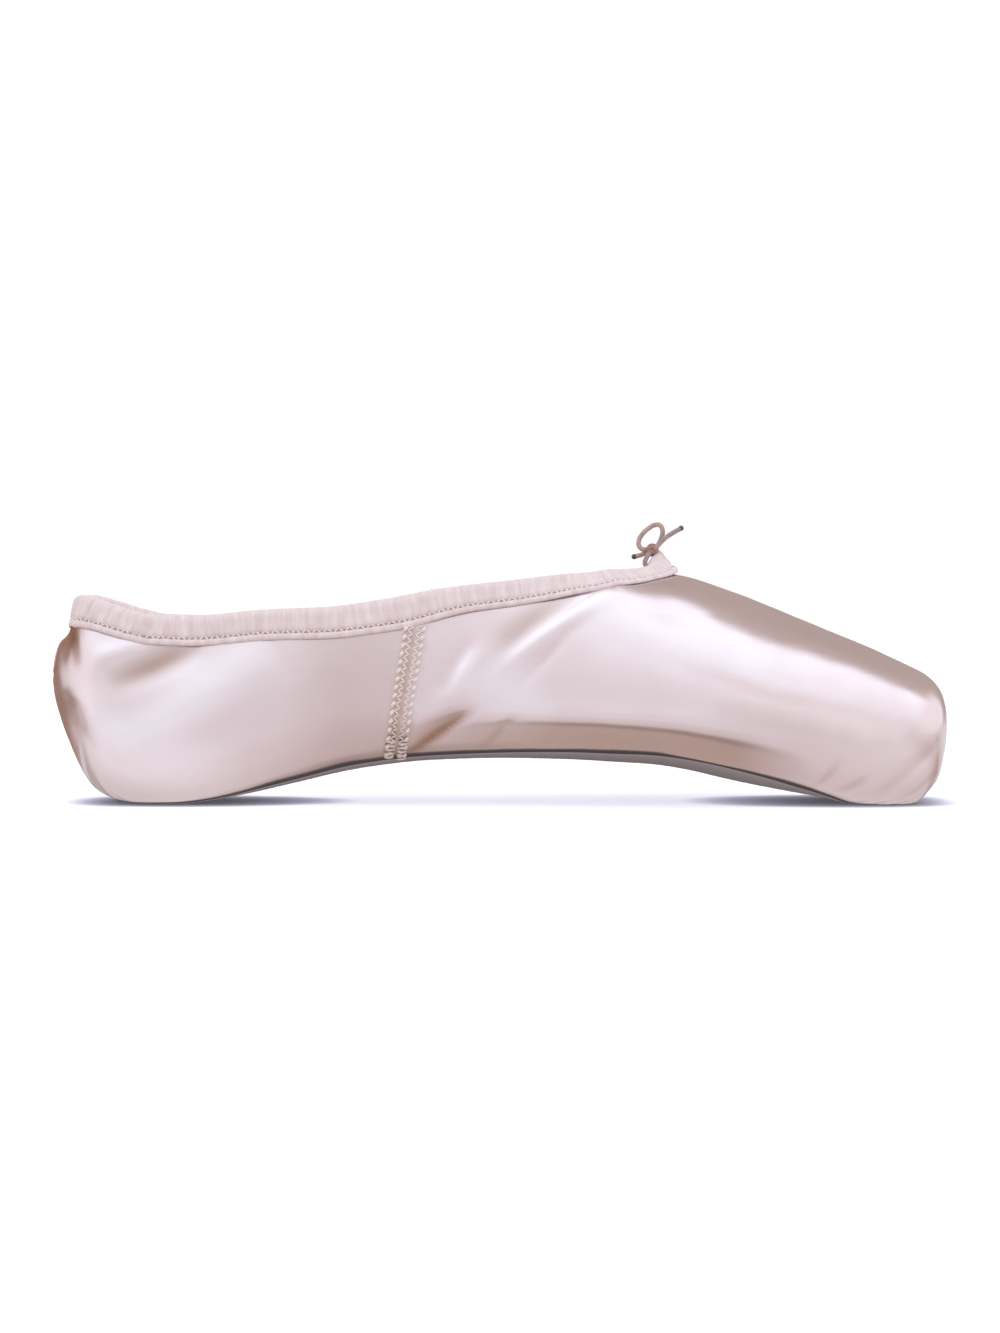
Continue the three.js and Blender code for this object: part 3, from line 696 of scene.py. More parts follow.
# %% Measure the creases
def crease_fields(points):
    """How far the creases push each point out, and how much painted shade they put on the satin
    there, or painted highlight where it is negative.
    """
    push = np.zeros(len(points))
    shade = np.zeros(len(points))
    flat = points[:, [0, 2]]
    for _, side, line, wide, height, painted_shade in CREASES:
        path = np.array(line, float) * MM
        lengths = np.linalg.norm(np.diff(path, axis=0), axis=1)
        total = lengths.sum()
        best = np.full(len(points), 1e9)
        share = np.zeros(len(points))
        start = 0.0
        for a, b, length in zip(path, path[1:], lengths):
            t = np.clip(((flat - a) @ (b - a)) / length**2, 0, 1)
            gap = np.linalg.norm(flat - (a + t[:, None] * (b - a)), axis=1)
            nearer = gap < best
            best = np.where(nearer, gap, best)
            share = np.where(nearer, (start + t * length) / total, share)
            start += length
        fade = np.sin(np.clip(share, 0.02, 0.98) * math.pi) ** 0.7
        mask = 1.0 if side == 0 else (np.sign(points[:, 1]) == side)
        strength = mask * fade * np.exp(-((best / (wide * MM)) ** 2))
        push += strength * height * MM
        shade += strength * painted_shade
    return push, shade


trial = crease_fields(np.array([[0.0, 0.0, INSTEP_HEIGHT / 2]]))
print("push and shade half way up the middle:", [float(v[0].round(5)) for v in trial])

# %% [markdown]
# ## The satin upper
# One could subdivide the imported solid, but glossy satin shows every flat face. So the upper
# starts as a plain grid that is wrapped around the last: one way runs from heel to toe, the other
# around the foot. Rows are spaced by the length that they cover, so the cloth is nowhere
# stretched. The faces above the collar are then cut away.

# %% Wrap a grid around the last
ROWS_ALONG = 300
ROWS_AROUND = 176
WALL = 1.6 * MM


def even_stations(count):
    """Places along the last, spaced evenly over its rounded ends too."""
    fine = along(0.5 - 0.5 * np.cos(np.linspace(0, math.pi, 4001)))
    steps = np.diff(fine)
    travel = np.sqrt(
        steps**2
        + np.diff(half_width(fine)) ** 2
        + 0.5 * np.diff(crest(fine)) ** 2
        + 0.5 * np.diff(under(fine)) ** 2
    )
    reach = np.concatenate([[0], np.cumsum(travel)])
    return np.interp(np.linspace(0, reach[-1], count), reach, fine)


def wrapped_grid(xs, around):
    """Points of closed rings, evenly spaced around each ring, from the bottom line."""
    turns = np.linspace(0, 1, 721)
    grid = np.zeros((len(xs), around, 3))
    for row, x in enumerate(xs):
        y, z = ring_point(np.full(len(turns), x), turns)
        reach = np.concatenate([[0], np.cumsum(np.hypot(np.diff(y), np.diff(z)))])
        even = np.linspace(0, reach[-1], around)
        grid[row, :, 0] = x
        grid[row, :, 1] = np.interp(even, reach, y)
        grid[row, :, 2] = np.interp(even, reach, z)
    return grid


def grid_object(name, places):
    """A grid primitive whose points are moved to an array of places."""
    rows, columns = places.shape[:2]
    deselect()
    bpy.ops.mesh.primitive_grid_add(x_subdivisions=columns - 1, y_subdivisions=rows - 1, size=1)
    piece = bpy.context.active_object
    piece.name = name
    piece.data.name = name
    piece.data.vertices.foreach_set("co", places.reshape(-1))
    piece.data.update()
    return piece


stations = even_stations(ROWS_ALONG)
wrap = wrapped_grid(stations, ROWS_AROUND)
flat_points = wrap.reshape(-1, 3)
way_out = outwards(flat_points)
way_out[~np.isfinite(way_out).all(axis=1)] = (0, 0, 1)
print("wrap", wrap.shape)

# %% [markdown]
# ## Seams in the wall
# Each side seam is a lapped strip that leans forward, and the back seam is a narrow ridge with a
# stitched line down its middle. They could be pieces of their own, but on the real shoe the satin
# runs over them in one skin, so they are pushed out of the same grid.

# %% Raise the seams
SEAM_TOP = np.array([-22.2, 47.2]) * MM
SEAM_FOOT = np.array([-28.0, 12.4]) * MM
SEAM_LEAN = SEAM_TOP - SEAM_FOOT
SEAM_LENGTH = np.linalg.norm(SEAM_LEAN)
SEAM_UP = SEAM_LEAN / SEAM_LENGTH
SEAM_ACROSS = np.array([SEAM_UP[1], -SEAM_UP[0]])
SEAM_WIDTH = 6.0 * MM
SEAM_STEP = 0.5 * MM
BACK_SEAM_WIDTH = 1.8 * MM
BACK_SEAM_END = 0.06
BACK_GROOVE = 0.28 * MM


def soft_step(value, start, end):
    t = np.clip((value - start) / (end - start), 0, 1)
    return t * t * (3 - 2 * t)


def seam_place(points):
    """Distance across the leaning side seam and share of the way up it."""
    gap = points[:, [0, 2]] - (SEAM_FOOT + [SHIFT, 0])
    return gap @ SEAM_ACROSS, (gap @ SEAM_UP) / SEAM_LENGTH


def satin_push(points):
    """How far the creases and the seams push the satin out."""
    push, _ = crease_fields(points - [SHIFT, 0, 0])
    across, climb = seam_place(points)
    strip = 1 - soft_step(np.abs(across), SEAM_WIDTH / 2 - 0.25 * MM, SEAM_WIDTH / 2 + 0.15 * MM)
    strip = strip * (climb > -0.1)
    push += SEAM_STEP * strip
    back = np.exp(-((points[:, 1] / (BACK_SEAM_WIDTH / 2)) ** 4))
    back = (points[:, 0] < along(BACK_SEAM_END)) * back
    push += SEAM_STEP * back
    push -= 0.5 * MM * back * np.exp(-((points[:, 1] / BACK_GROOVE) ** 2))
    return push


print("side seam", round(SEAM_LENGTH / MM, 1), "mm long")

# %% [markdown]
# ## Pleats
# Under the toe and the heel the satin is drawn in and pleated towards the sole, in a fan. Cutting
# single folds would take long; a wave that runs around the middle of each fan gives them all, and
# a power of it keeps the folds narrow.

# %% Fold the pleats
# name, middle of the fan as a share of the length, side of it (1 toe, -1 heel), number of folds
PLEAT_FANS = [("toe", 0.86, 1, 34), ("heel", 0.115, -1, 28)]
PLEAT_DEPTH = 0.45 * MM


def pleat_grooves(points):
    """Narrow folds that fan out from under the toe and the heel, as depths into the satin."""
    grooves = np.zeros(len(points))
    for _, share, side, count in PLEAT_FANS:
        ahead = (points[:, 0] - along(share)) * side
        turn = np.arctan2(points[:, 1], np.maximum(ahead, 0))
        wobble = 0.35 * np.sin(5 * turn + share * 40)
        fold = (0.5 + 0.5 * np.cos(count * turn + wobble)) ** 2.5
        grooves += fold * soft_step(ahead, 2 * MM, 9 * MM)
    return grooves * PLEAT_DEPTH


print("pleats", sum(fan[3] for fan in PLEAT_FANS), "in", len(PLEAT_FANS), "fans")

# %% [markdown]
# ## Pushing the satin
# Every point now moves along its own way out of the last, by creases, seams and pleats together.
# The satin isn't perfectly even: two layers of slow noise give the faint waviness of the paste
# below it. Creases fade out where the satin faces the floor, and the pleats begin there.

# %% Push the satin out and in
# height, waves to a metre and seed of each layer of waviness
WAVES = [(0.30 * MM, 45.0, 3.1), (0.10 * MM, 140.0, 7.7)]


def wave(points, scale, seed):
    """Slow smooth noise over the surface."""
    offset = Vector((seed, seed * 2.3, -seed))
    return np.array([noise.noise(Vector(p) * scale + offset) for p in points])


down_share = -way_out[:, 2]
push = satin_push(flat_points) * (1 - soft_step(down_share, 0.55, 0.9))
push -= pleat_grooves(flat_points) * soft_step(down_share, 0.35, 0.75)
for height, scale, seed in WAVES:
    push += height * wave(flat_points, scale, seed)
satin_points = flat_points + way_out * push[:, None]
satin_points[:, 2] = np.maximum(satin_points[:, 2], 0.0)
rings = satin_points.reshape(ROWS_ALONG, ROWS_AROUND, 3)
for end, next_row in ((0, 1), (-1, -2)):
    rings[end] = rings[next_row].mean(axis=0)
print("push from", round(push.min() / MM, 2), "to", round(push.max() / MM, 2), "mm")

# %% [markdown]
# ## The collar's cut
# The maker trims the satin along the collar before the casing goes on. A boolean could cut the
# mesh, but the grid is fine enough to drop whole faces: the casing will hide their steps.

# %% Cut the collar
BELOW_RIM = 5 * MM


def weld(threshold):
    """Merges the active mesh's touching points and turns its faces outwards."""
    bpy.ops.object.mode_set(mode="EDIT")
    bpy.ops.mesh.select_mode(type="VERT")
    bpy.ops.mesh.select_all(action="SELECT")
    bpy.ops.mesh.remove_doubles(threshold=threshold)
    bpy.ops.mesh.select_all(action="SELECT")
    bpy.ops.mesh.normals_make_consistent(inside=False)
    bpy.ops.object.mode_set(mode="OBJECT")


upper = grid_object("satin_upper", rings)
mesh = upper.data
corner = np.zeros(len(mesh.polygons) * 4, dtype=np.int32)
mesh.polygons.foreach_get("vertices", corner)
corner = corner.reshape(-1, 4)
centre = flat_points[corner].mean(axis=1)
opening = (np.abs(centre[:, 1]) < edge_half(centre[:, 0])) & (centre[:, 0] < THROAT_FRONT)
above = opening & (centre[:, 2] > belly(centre[:, 0]) + BELOW_RIM)
above |= (centre[:, 0] < heel_x) & (centre[:, 2] > collar_height(centre[:, 0]) - FOLD)
mesh.polygons.foreach_set("select", above)
mesh.vertices.foreach_set("select", np.zeros(len(mesh.vertices), dtype=bool))
mesh.edges.foreach_set("select", np.zeros(len(mesh.edges), dtype=bool))
bpy.ops.object.mode_set(mode="EDIT")
bpy.ops.mesh.select_mode(type="FACE")
bpy.ops.mesh.delete(type="FACE")
bpy.ops.object.mode_set(mode="OBJECT")
weld(0.01 * MM)
bpy.ops.object.shade_smooth()
print("satin faces", len(upper.data.polygons))

# %% [markdown]
# ## Satin
# Satin is woven with long floating threads, so it mirrors its surroundings softly: dark where it
# faces the dark cards, nearly white where it faces the lamp. Sheen alone would look like felt. A
# mostly metallic shader with a low roughness gives that pearl, and stretched noise in the bump,
# one layer of slubs and one of fine weave, breaks the gloss. A number on each vertex, named
# shade, mixes painted shade, a dull brown, into the satin's colour in the troughs, and a painted
# highlight where it is negative.

# %% Mix the satin
# colours of the painted shade and of the painted highlight that the shade number mixes in
PAINTED_SHADE_BROWN = (0.42, 0.26, 0.17)
PAINTED_HIGHLIGHT_TINT = (0.97, 0.91, 0.94)
# how often the threads repeat along each axis, strength and depth in millimetres
THREADS = [((60.0, 240.0, 480.0), 0.5, 0.07), ((1500.0, 4200.0, 5200.0), 0.10, 0.03)]


def mix_satin(name, dark, light, roughness):
    """Satin between two close tints, with painted shade and painted highlight from the shade
    number, and slubs and a fine weave in its bump.
    """
    satin = new_material(
        name, light, roughness, Metallic=0.8, Sheen_Weight=0.1, Sheen_Roughness=0.4
    )
    place = places_in(satin)
    colour = tint_in(satin, noise_in(satin, place, 28.0, 3.0), [(0.35, dark), (0.68, light)])
    shade = add_node(satin, "ShaderNodeAttribute", {}, attribute_name="shade").outputs["Fac"]
    for sign, target in ((1.0, PAINTED_SHADE_BROWN), (-1.0, PAINTED_HIGHLIGHT_TINT)):
        times = {0: shade, 1: sign}
        share = add_node(satin, "ShaderNodeMath", times, operation="MULTIPLY", use_clamp=True)
        colour = mix_in(satin, share.outputs["Value"], colour, target)
    plug(satin, "Base Color", colour)
    normal = None
    for stretch, strength, depth in THREADS:
        scaled = add_node(satin, "ShaderNodeMapping", {"Vector": place, "Scale": stretch})
        threads = noise_in(satin, scaled.outputs["Vector"], 1.0)
        normal = bump_in(satin, threads, strength, depth * MM, normal)
    plug(satin, "Normal", normal)
    return satin


vamp_satin = mix_satin("pale pink satin", (0.81, 0.69, 0.70), (0.86, 0.75, 0.76), 0.23)
quarter_satin = mix_satin("quarter satin", (0.80, 0.68, 0.69), (0.85, 0.74, 0.75), 0.25)
print("satins:", vamp_satin.name, "and", quarter_satin.name)

# %% [markdown]
# ## Lining
# The inside is lined with plain matt cotton. The collar shows only a sliver of it, so a noise as
# fine as its threads is enough.

# %% Mix the lining
lining = new_material("cotton lining", (0.90, 0.80, 0.75), 0.9, Sheen_Weight=0.2)
lining_weave = noise_in(lining, places_in(lining), 1600.0, 3.0)
plug(lining, "Normal", bump_in(lining, lining_weave, 0.5, 0.15 * MM))
print(lining.name, "has", len(lining.node_tree.nodes), "nodes")

# %% [markdown]
# ## Shading and lining the upper
# The quarter behind the side seam is cut from duller satin than the vamp. Painted shade darkens it
# further towards the seam, the seam's middle is darkened, and the creases add their painted shade
# and highlight. Two sheets could hold satin and lining, but one sheet with the Solidify modifier
# keeps their distance right everywhere: it grows the wall inwards, and gives the inner side and
# the rim the material that stands two places further down the list.

# %% Finish the upper
QUARTER_SHADE = 0.22
# painted shade darkens the quarter towards the seam, between these places along the shoe
QUARTER_SHADE_SPAN = (-64 * MM, -36 * MM)
SEAM_SHADE = 0.4
SEAM_SHADE_HALF = 2.9 * MM


def thicken(piece, thickness, offset, **settings):
    """Gives a sheet its thickness: inwards with offset -1, to both sides with 0."""
    wall = piece.modifiers.new("wall", "SOLIDIFY")
    wall.thickness = thickness
    wall.offset = offset
    for name, value in settings.items():
        setattr(wall, name, value)
    bpy.context.view_layer.objects.active = piece
    bpy.ops.object.modifier_apply(modifier="wall")


def read_rows(items, name):
    """A place or direction of all vertices or faces, one row for each."""
    values = np.zeros(len(items) * 3)
    items.foreach_get(name, values)
    return values.reshape(-1, 3)


def store_shares(piece, name, values):
    """A number for each vertex, which the piece's material reads by its name."""
    layer = piece.data.attributes.new(name, "FLOAT", "POINT")
    layer.data.foreach_set("value", values.astype(np.float32))


for material in (vamp_satin, quarter_satin, lining, lining):
    upper.data.materials.append(material)
behind_seam = seam_place(read_rows(upper.data.polygons, "center"))[0] < 0
upper.data.polygons.foreach_set("material_index", behind_seam.astype(np.int32))
places = read_rows(upper.data.vertices, "co") - [SHIFT, 0, 0]
_, shade = crease_fields(places)
seam_across, _ = seam_place(places + [SHIFT, 0, 0])
# painted shade on the quarter, deeper towards the seam
shade += QUARTER_SHADE * soft_step(places[:, 0], *QUARTER_SHADE_SPAN) * (seam_across < 0)
# the seam's middle is darkened
shade += SEAM_SHADE * np.exp(-((seam_across / SEAM_SHADE_HALF) ** 6))
store_shares(upper, "shade", np.clip(shade, -1, 1))
thicken(upper, WALL, -1, material_offset=2, material_offset_rim=2)
finish_piece(upper, "satin", "upper")

# %% [markdown]
# ## The outsole and the insole
# The outsole is a thin leaf of grey suede, a little proud of the satin, with a rounded edge. A
# flat outline could be extruded and bent, but the arch rises under it. So it is a closed strip: at
# each place along the shoe a small loop runs across its lower face, around its edge and back over
# its upper face. The insole inside is made the same way.

# %% Draw the plates
PLATE_ROWS = 190
FLAT_STEPS = 40
EDGE_STEPS = 7
# share of the shoe's length and share of the half width
OUTSOLE_OUTLINE = [
    (0.066, 0), (0.069, 0.12), (0.08, 0.26), (0.1, 0.38), (0.13, 0.46), (0.18, 0.53),
    (0.24, 0.58), (0.33, 0.56), (0.42, 0.57), (0.5, 0.65), (0.58, 0.8), (0.66, 0.95), (0.73, 1),
    (0.79, 0.94), (0.84, 0.78), (0.87, 0.57), (0.886, 0.34), (0.891, 0.16), (0.8925, 0),
]
INSOLE_OUTLINE = [
    (0.07, 0), (0.074, 0.22), (0.09, 0.45), (0.12, 0.66), (0.17, 0.76), (0.25, 0.76),
    (0.36, 0.7), (0.46, 0.72), (0.56, 0.88), (0.66, 1), (0.74, 0.98), (0.8, 0.8), (0.825, 0.5),
    (0.833, 0.24), (0.835, 0),
]


def plate_loop(x, wide, soft, bottom, top):
    """One loop around a plate: its lower face, one rounded edge, its upper face, the other edge."""
    turns = math.pi * np.arange(1, EDGE_STEPS) / EDGE_STEPS
    edge = wide - soft + soft * np.sin(turns)
    rise = (1 - np.cos(turns)) / 2
    flat = np.linspace(-(wide - soft), wide - soft, FLAT_STEPS)
    y = np.concatenate([flat, edge, flat[::-4], -edge])
    share = np.concatenate([flat * 0, rise, flat[::-4] * 0 + 1, 1 - rise])
    xs = np.full_like(y, x)
    z = bottom(xs, y) + (top(xs, y) - bottom(xs, y)) * share
    loop = np.stack([xs, y, z], axis=-1)
    return np.vstack([loop, loop[:1]])


def sole_plate(name, outline, half, bottom, top, round_edge):
    """A closed leaf-shaped plate between two heights, with a rounded edge."""
    wide = smooth_curve([along(row[0]) for row in outline], [row[1] * half for row in outline])
    first = float(along(outline[0][0]))
    last_place = float(along(outline[-1][0]))
    places = []
    for share in 0.5 - 0.5 * np.cos(np.linspace(0, math.pi, PLATE_ROWS)):
        x = first + (last_place - first) * share
        w = max(float(wide(x)), 0.02 * MM)
        places.append(plate_loop(x, w, min(round_edge, w), bottom, top))
    piece = grid_object(name, np.array(places))
    weld(0.03 * MM)
    bpy.ops.object.shade_smooth_by_angle(angle=math.radians(50))
    return piece


print("loops of", 2 * EDGE_STEPS - 2 + FLAT_STEPS + FLAT_STEPS // 4 + 1, "points")

# %% [markdown]
# The plates take their heights from the last's underside. The outsole is let a little below it,
# and the insole lies inside on the wall's turned-in edge and its pleats.

# %% Cut the soles
OUTSOLE_THICKNESS = 1.8 * MM
OUTSOLE_PROUD = 0.6 * MM
OUTSOLE_HALF = 27 * MM
OUTSOLE_EDGE = 0.5 * MM
PLEAT_BED = 3.1 * MM
INSOLE_THICKNESS = 1.6 * MM
INSOLE_HALF = 24 * MM
INSOLE_EDGE = 0.8 * MM
INSOLE_GAP = 0.15 * MM
INSOLE_LIFT = 0.45 * MM

outsole = sole_plate(
    "suede_outsole",
    OUTSOLE_OUTLINE,
    OUTSOLE_HALF,
    lambda x, y: np.maximum(underside(x, y) - OUTSOLE_PROUD, 0),
    lambda x, y: underside(x, y) + OUTSOLE_THICKNESS - OUTSOLE_PROUD,
    OUTSOLE_EDGE,
)
insole = sole_plate(
    "cloth_insole",
    INSOLE_OUTLINE,
    INSOLE_HALF,
    lambda x, y: underside(x, y) + WALL + INSOLE_GAP,
    lambda x, y: underside(x, y) + PLEAT_BED + INSOLE_LIFT + INSOLE_THICKNESS,
    INSOLE_EDGE,
)
print("outsole", [round(v / MM, 1) for v in outsole.dimensions], "mm")

# %% [markdown]
# ## Suede and a dark edge
# Suede is leather with its nap up: it hardly shines. The sole's curved flanks get a painted
# highlight: a number on each vertex, named pale, says how far it faces sideways, and mixes a paler
# colour in. Faces that stand steeply take a second, darker and smoother material.

# %% Colour the soles
SUEDE_TINTS = [(0.3, (0.13, 0.12, 0.14)), (0.7, (0.22, 0.21, 0.24))]
SUEDE_FLANK_HIGHLIGHT = (0.39, 0.385, 0.44)
EDGE_STEEP = 0.75

suede = new_material("grey suede", (0.26, 0.25, 0.25), 0.95, Sheen_Weight=0.15, Sheen_Roughness=0.6)
nap = noise_in(suede, places_in(suede), 900.0, 5.0, 0.7)
flank_highlight = add_node(suede, "ShaderNodeAttribute", {}, attribute_name="pale").outputs["Fac"]
# painted highlight on the flanks, mixed in by the pale number
suede_colour = mix_in(suede, flank_highlight, tint_in(suede, nap, SUEDE_TINTS), SUEDE_FLANK_HIGHLIGHT)
plug(suede, "Base Color", suede_colour)
plug(suede, "Normal", bump_in(suede, nap, 0.6, 0.2 * MM))
dark_sole_edge = new_material("dark sole edge", (0.075, 0.058, 0.066), 0.6)
edge_grain = noise_in(dark_sole_edge, places_in(dark_sole_edge), 1500.0)
plug(dark_sole_edge, "Normal", bump_in(dark_sole_edge, edge_grain, 0.4, 0.1 * MM))

sideways = np.abs(read_rows(outsole.data.vertices, "normal")[:, 1])
print("sole faces sideways up to", round(float(sideways.max()), 2))
# how far each vertex faces sideways, for the painted highlight on the flanks
store_shares(outsole, "pale", soft_step(sideways, 0.03, 0.40))
outsole.data.materials.append(suede)
outsole.data.materials.append(dark_sole_edge)
for face in outsole.data.polygons:
    if abs(face.normal.z) < EDGE_STEEP:
        face.material_index = 1
insole.data.materials.append(lining)
finish_piece(outsole, "suede", "outsole")
finish_piece(insole, "lining", "insole")

# %% [markdown]
# ## The drawstring casing
# A strip of cotton twill is folded over the raw edge and holds the drawstring. Its section is a
# hook: up the outside, over the cord, down the inside. A curve could sweep that hook, but it would
# turn at will; so the hook is carried along the collar line and seated on the last at every step.

# %% Seat the casing on the last
# distance down from the fold and distance off the last's surface, in millimetres
HOOK = [
    (8.7, 0.15), (8.6, 0.5), (8.3, 0.7), (7.7, 0.78), (7.3, 0.72), (7.05, 0.35), (6.75, 0.12),
    (6.45, 0.35), (6.2, 0.75), (5.6, 0.95), (4.6, 1.0), (3.6, 1.1), (2.6, 1.25), (1.7, 1.35),
    (0.9, 1.3), (0.2, 1.0), (-0.25, 0.45), (-0.42, -0.3), (-0.42, -1.1), (-0.2, -1.9), (0.4, -2.5),
    (1.3, -2.8), (2.4, -2.8), (3.6, -2.65), (5.0, -2.5), (6.5, -2.4), (7.8, -2.3), (8.3, -2.15),
    (8.4, -1.75),
]
# along, and the casing's width there as a share of its full width
CASING_SHARES = [
    (0.0, 0.8), (0.04, 0.85), (0.09, 0.87), (0.16, 0.87), (0.25, 0.88), (0.33, 0.92), (0.39, 0.95),
    (0.476, 0.78), (0.54, 0.77), (0.6, 0.69), (0.65, 0.66), (0.67, 0.86),
]
casing_share = smooth_curve(
    [along(row[0]) for row in CASING_SHARES], [row[1] for row in CASING_SHARES]
)


def around_loop(points):
    """The way on along a closed loop of points."""
    return unit(np.roll(points, -1, axis=0) - np.roll(points, 1, axis=0))


def down_collar(points):
    """At each collar point, the way down the surface across the collar."""
    down = unit(np.cross(outwards(points), around_loop(points)))
    flip = np.where((down * (points - points.mean(axis=0))).sum(axis=1) < 0, -1.0, 1.0)
    return down * flip[:, None]


collar_down = down_collar(collar_points)
print("down at the near waist", collar_down[180].round(2))

# %% [markdown]
# A place on the casing is then three numbers: how far around the collar, how far down from the
# fold and how far off the last. Inside the shoe and above the rim there is no surface to be
# seated on, so there the strip goes straight down or up.


# %% Place points of the casing
def around_collar(values, share):
    """Values listed along the collar, read at shares of its length."""
    closed = np.vstack([values, values[:1]])
    index = np.asarray(share) * len(values)
    return np.stack([np.interp(index, np.arange(len(closed)), v) for v in closed.T], axis=-1)


def casing_place(share, down_mm, off_mm):
    """Points of the casing for shares of the collar and one place of the hook."""
    base = around_collar(collar_points, share)
    down = around_collar(collar_down, share)
    reach = (max(down_mm, 0) * casing_share(base[:, 0]) + min(down_mm, 0))[:, None] * MM
    seat = onto_last(base + down * reach) if down_mm > 0 else base + down * reach
    out = outwards(seat) if down_mm > 0 else outwards(onto_last(seat))
    return seat + out * (off_mm * MM)


print("fold at the throat", casing_place(np.array([0.0]), 0.2, 1.0).round(4), "m")

# %% [markdown]
# The cloth gathers in ripples behind the ankle and at the throat, where the cord is drawn. The
# cord also pulls it up around one spot into a puckered peak. Simulated cloth would do both, but
# not in the same places on each run; a slow noise along the collar and a bell around the spot do.

# %% Gather the casing
PUCKER = np.array([43.2, 0.0]) * MM
PUCKER_HEIGHT = 4.8
PUCKER_REACH = 2.3 * MM
# height in millimetres, number, distance from the peak and spread of the folds around it
PUCKER_FOLDS = (0.35, 7, 2.5 * MM, 2.0 * MM)
RIPPLE_HEIGHT = 1.5
RIPPLES_PER_MM = 0.42


def gather(share):
    """How strongly the casing is gathered around the collar; 0 at the throat, 0.5 at the heel."""
    from_heel = np.abs(share - 0.5)
    heel = np.exp(-((from_heel - 0.10) ** 2) / (2 * 0.05**2))
    throat = np.exp(-(np.minimum(share, 1 - share) ** 2) / (2 * 0.02**2))
    return 0.2 + 1.0 * heel + 0.9 * throat


def pucker_lift(points):
    """The drawn cord lifts the casing around one spot of the throat."""
    gap = points[:, :2] - (PUCKER + [SHIFT, 0])
    reach = np.hypot(gap[:, 0], gap[:, 1])
    turn = np.arctan2(gap[:, 1], gap[:, 0])
    lift = PUCKER_HEIGHT * np.exp(-((reach / PUCKER_REACH) ** 0.95))
    height, count, away, spread = PUCKER_FOLDS
    lift += height * np.cos(count * turn) * np.exp(-(((reach - away) / spread) ** 2))
    return lift * MM


print("gathered", gather(np.array([0.0, 0.25, 0.4])).round(2), "at throat, waist and heel")

# %% [markdown]
# Ripples swell in the middle of the casing's outer face, nearly vanish at its stitched edge and
# stay faint on its inner face. The folded sheet is then thickened to both sides.

# %% Fold the casing over the edge
CASING_STEPS = 900
TWILL_THICKNESS = 0.35 * MM
# middle and spread, down from the fold, of the part that ripples, in millimetres
RIPPLE_BODY = (3.8, 2.6)
INNER_RIPPLE = 0.25

shares = np.arange(CASING_STEPS + 1) / CASING_STEPS
steps_along = [s * collar_length / MM * RIPPLES_PER_MM for s in shares]
ripple = np.array([noise.noise(Vector((step, 0.0, 5.0))) for step in steps_along])
ripple[-1] = ripple[0]
columns = []
for down_mm, off_mm in HOOK:
    from_middle = (down_mm - RIPPLE_BODY[0]) / RIPPLE_BODY[1]
    body = math.exp(-(from_middle**2)) if off_mm > 0 else INNER_RIPPLE
    places = casing_place(shares % 1.0, down_mm, off_mm)
    out = outwards(onto_last(places))
    places = places + out * (ripple * gather(shares) * body * RIPPLE_HEIGHT * MM)[:, None]
    places[:, 2] += pucker_lift(places)
    columns.append(places)
casing = grid_object("twill_casing", np.stack(columns, axis=1))
weld(0.005 * MM)
bpy.ops.object.shade_smooth()
thicken(casing, TWILL_THICKNESS, 0)
print("casing", round(casing.dimensions.z / MM, 1), "mm from its lowest to its highest place")

# %% [markdown]
# ## Twill
# Twill has a slanting rib, here a wave turned by forty degrees, and loose fibres, a fine noise.
# Where the cloth is gathered, shade falls in its folds, across the casing and never along it. That
# shade is painted into the colour as darker streaks, a noise read through the grid's own UV and
# squeezed along the collar. A real picture of twill would also do, but it would have to be
# unwrapped around every pucker.

# %% Weave the twill
RIB_TURN = math.radians(40)
GATHER_SHADES_PER_MM = 0.5
GATHER_SHADES_ACROSS = 2.0
TWILL_GATHER_SHADE_TINTS = [(0.28, (0.74, 0.59, 0.60)), (0.72, (0.90, 0.79, 0.795))]

twill = new_material("pink cotton twill", (0.64, 0.52, 0.525), 0.9, Sheen_Weight=0.35)
twill_place = places_in(twill)
turned = {"Vector": twill_place, "Rotation": (0.0, RIB_TURN, 0.0)}
rib_place = add_node(twill, "ShaderNodeMapping", turned).outputs["Vector"]
rib_wave = {"Vector": rib_place, "Scale": 420.0, "Distortion": 1.5}
rib = add_node(twill, "ShaderNodeTexWave", rib_wave).outputs["Fac"]
weave = math_in(twill, "ADD", rib, noise_in(twill, twill_place, 2200.0, 3.0))
plug(twill, "Normal", bump_in(twill, weave, 0.45, 0.12 * MM))
squeeze = (GATHER_SHADES_ACROSS, GATHER_SHADES_PER_MM * collar_length / MM, 1.0)
gather_shade_place = add_node(
    twill, "ShaderNodeMapping", {"Vector": places_in(twill, "UV"), "Scale": squeeze}
)
gather_shade = noise_in(twill, gather_shade_place.outputs["Vector"], 1.0, 3.0, 0.6)
# painted shade of the gathers: darker streaks across the casing
plug(twill, "Base Color", tint_in(twill, gather_shade, TWILL_GATHER_SHADE_TINTS))
casing.data.materials.append(twill)
finish_piece(casing, "cotton", "binding")

# %% [markdown]
# ## Stitches
# Each stitch is a short fat thread whose ends dive into the cloth. Curves would do, but hundreds
# of them are slow to handle. One stitch is modelled from a small sphere, and its points are
# copied along each row with a turn and a place of its own, so a row is one light mesh.

# %% Model one stitch and sew rows of it
STITCH_FLATNESS = 0.9
STITCH_DIVE = 0.35
deselect()
bpy.ops.mesh.primitive_uv_sphere_add(segments=8, ring_count=6, radius=0.5)
pattern = bpy.context.active_object
pattern_points = np.array([v.co[:] for v in pattern.data.vertices])
pattern_faces = [tuple(p.vertices) for p in pattern.data.polygons]
bpy.data.objects.remove(pattern)


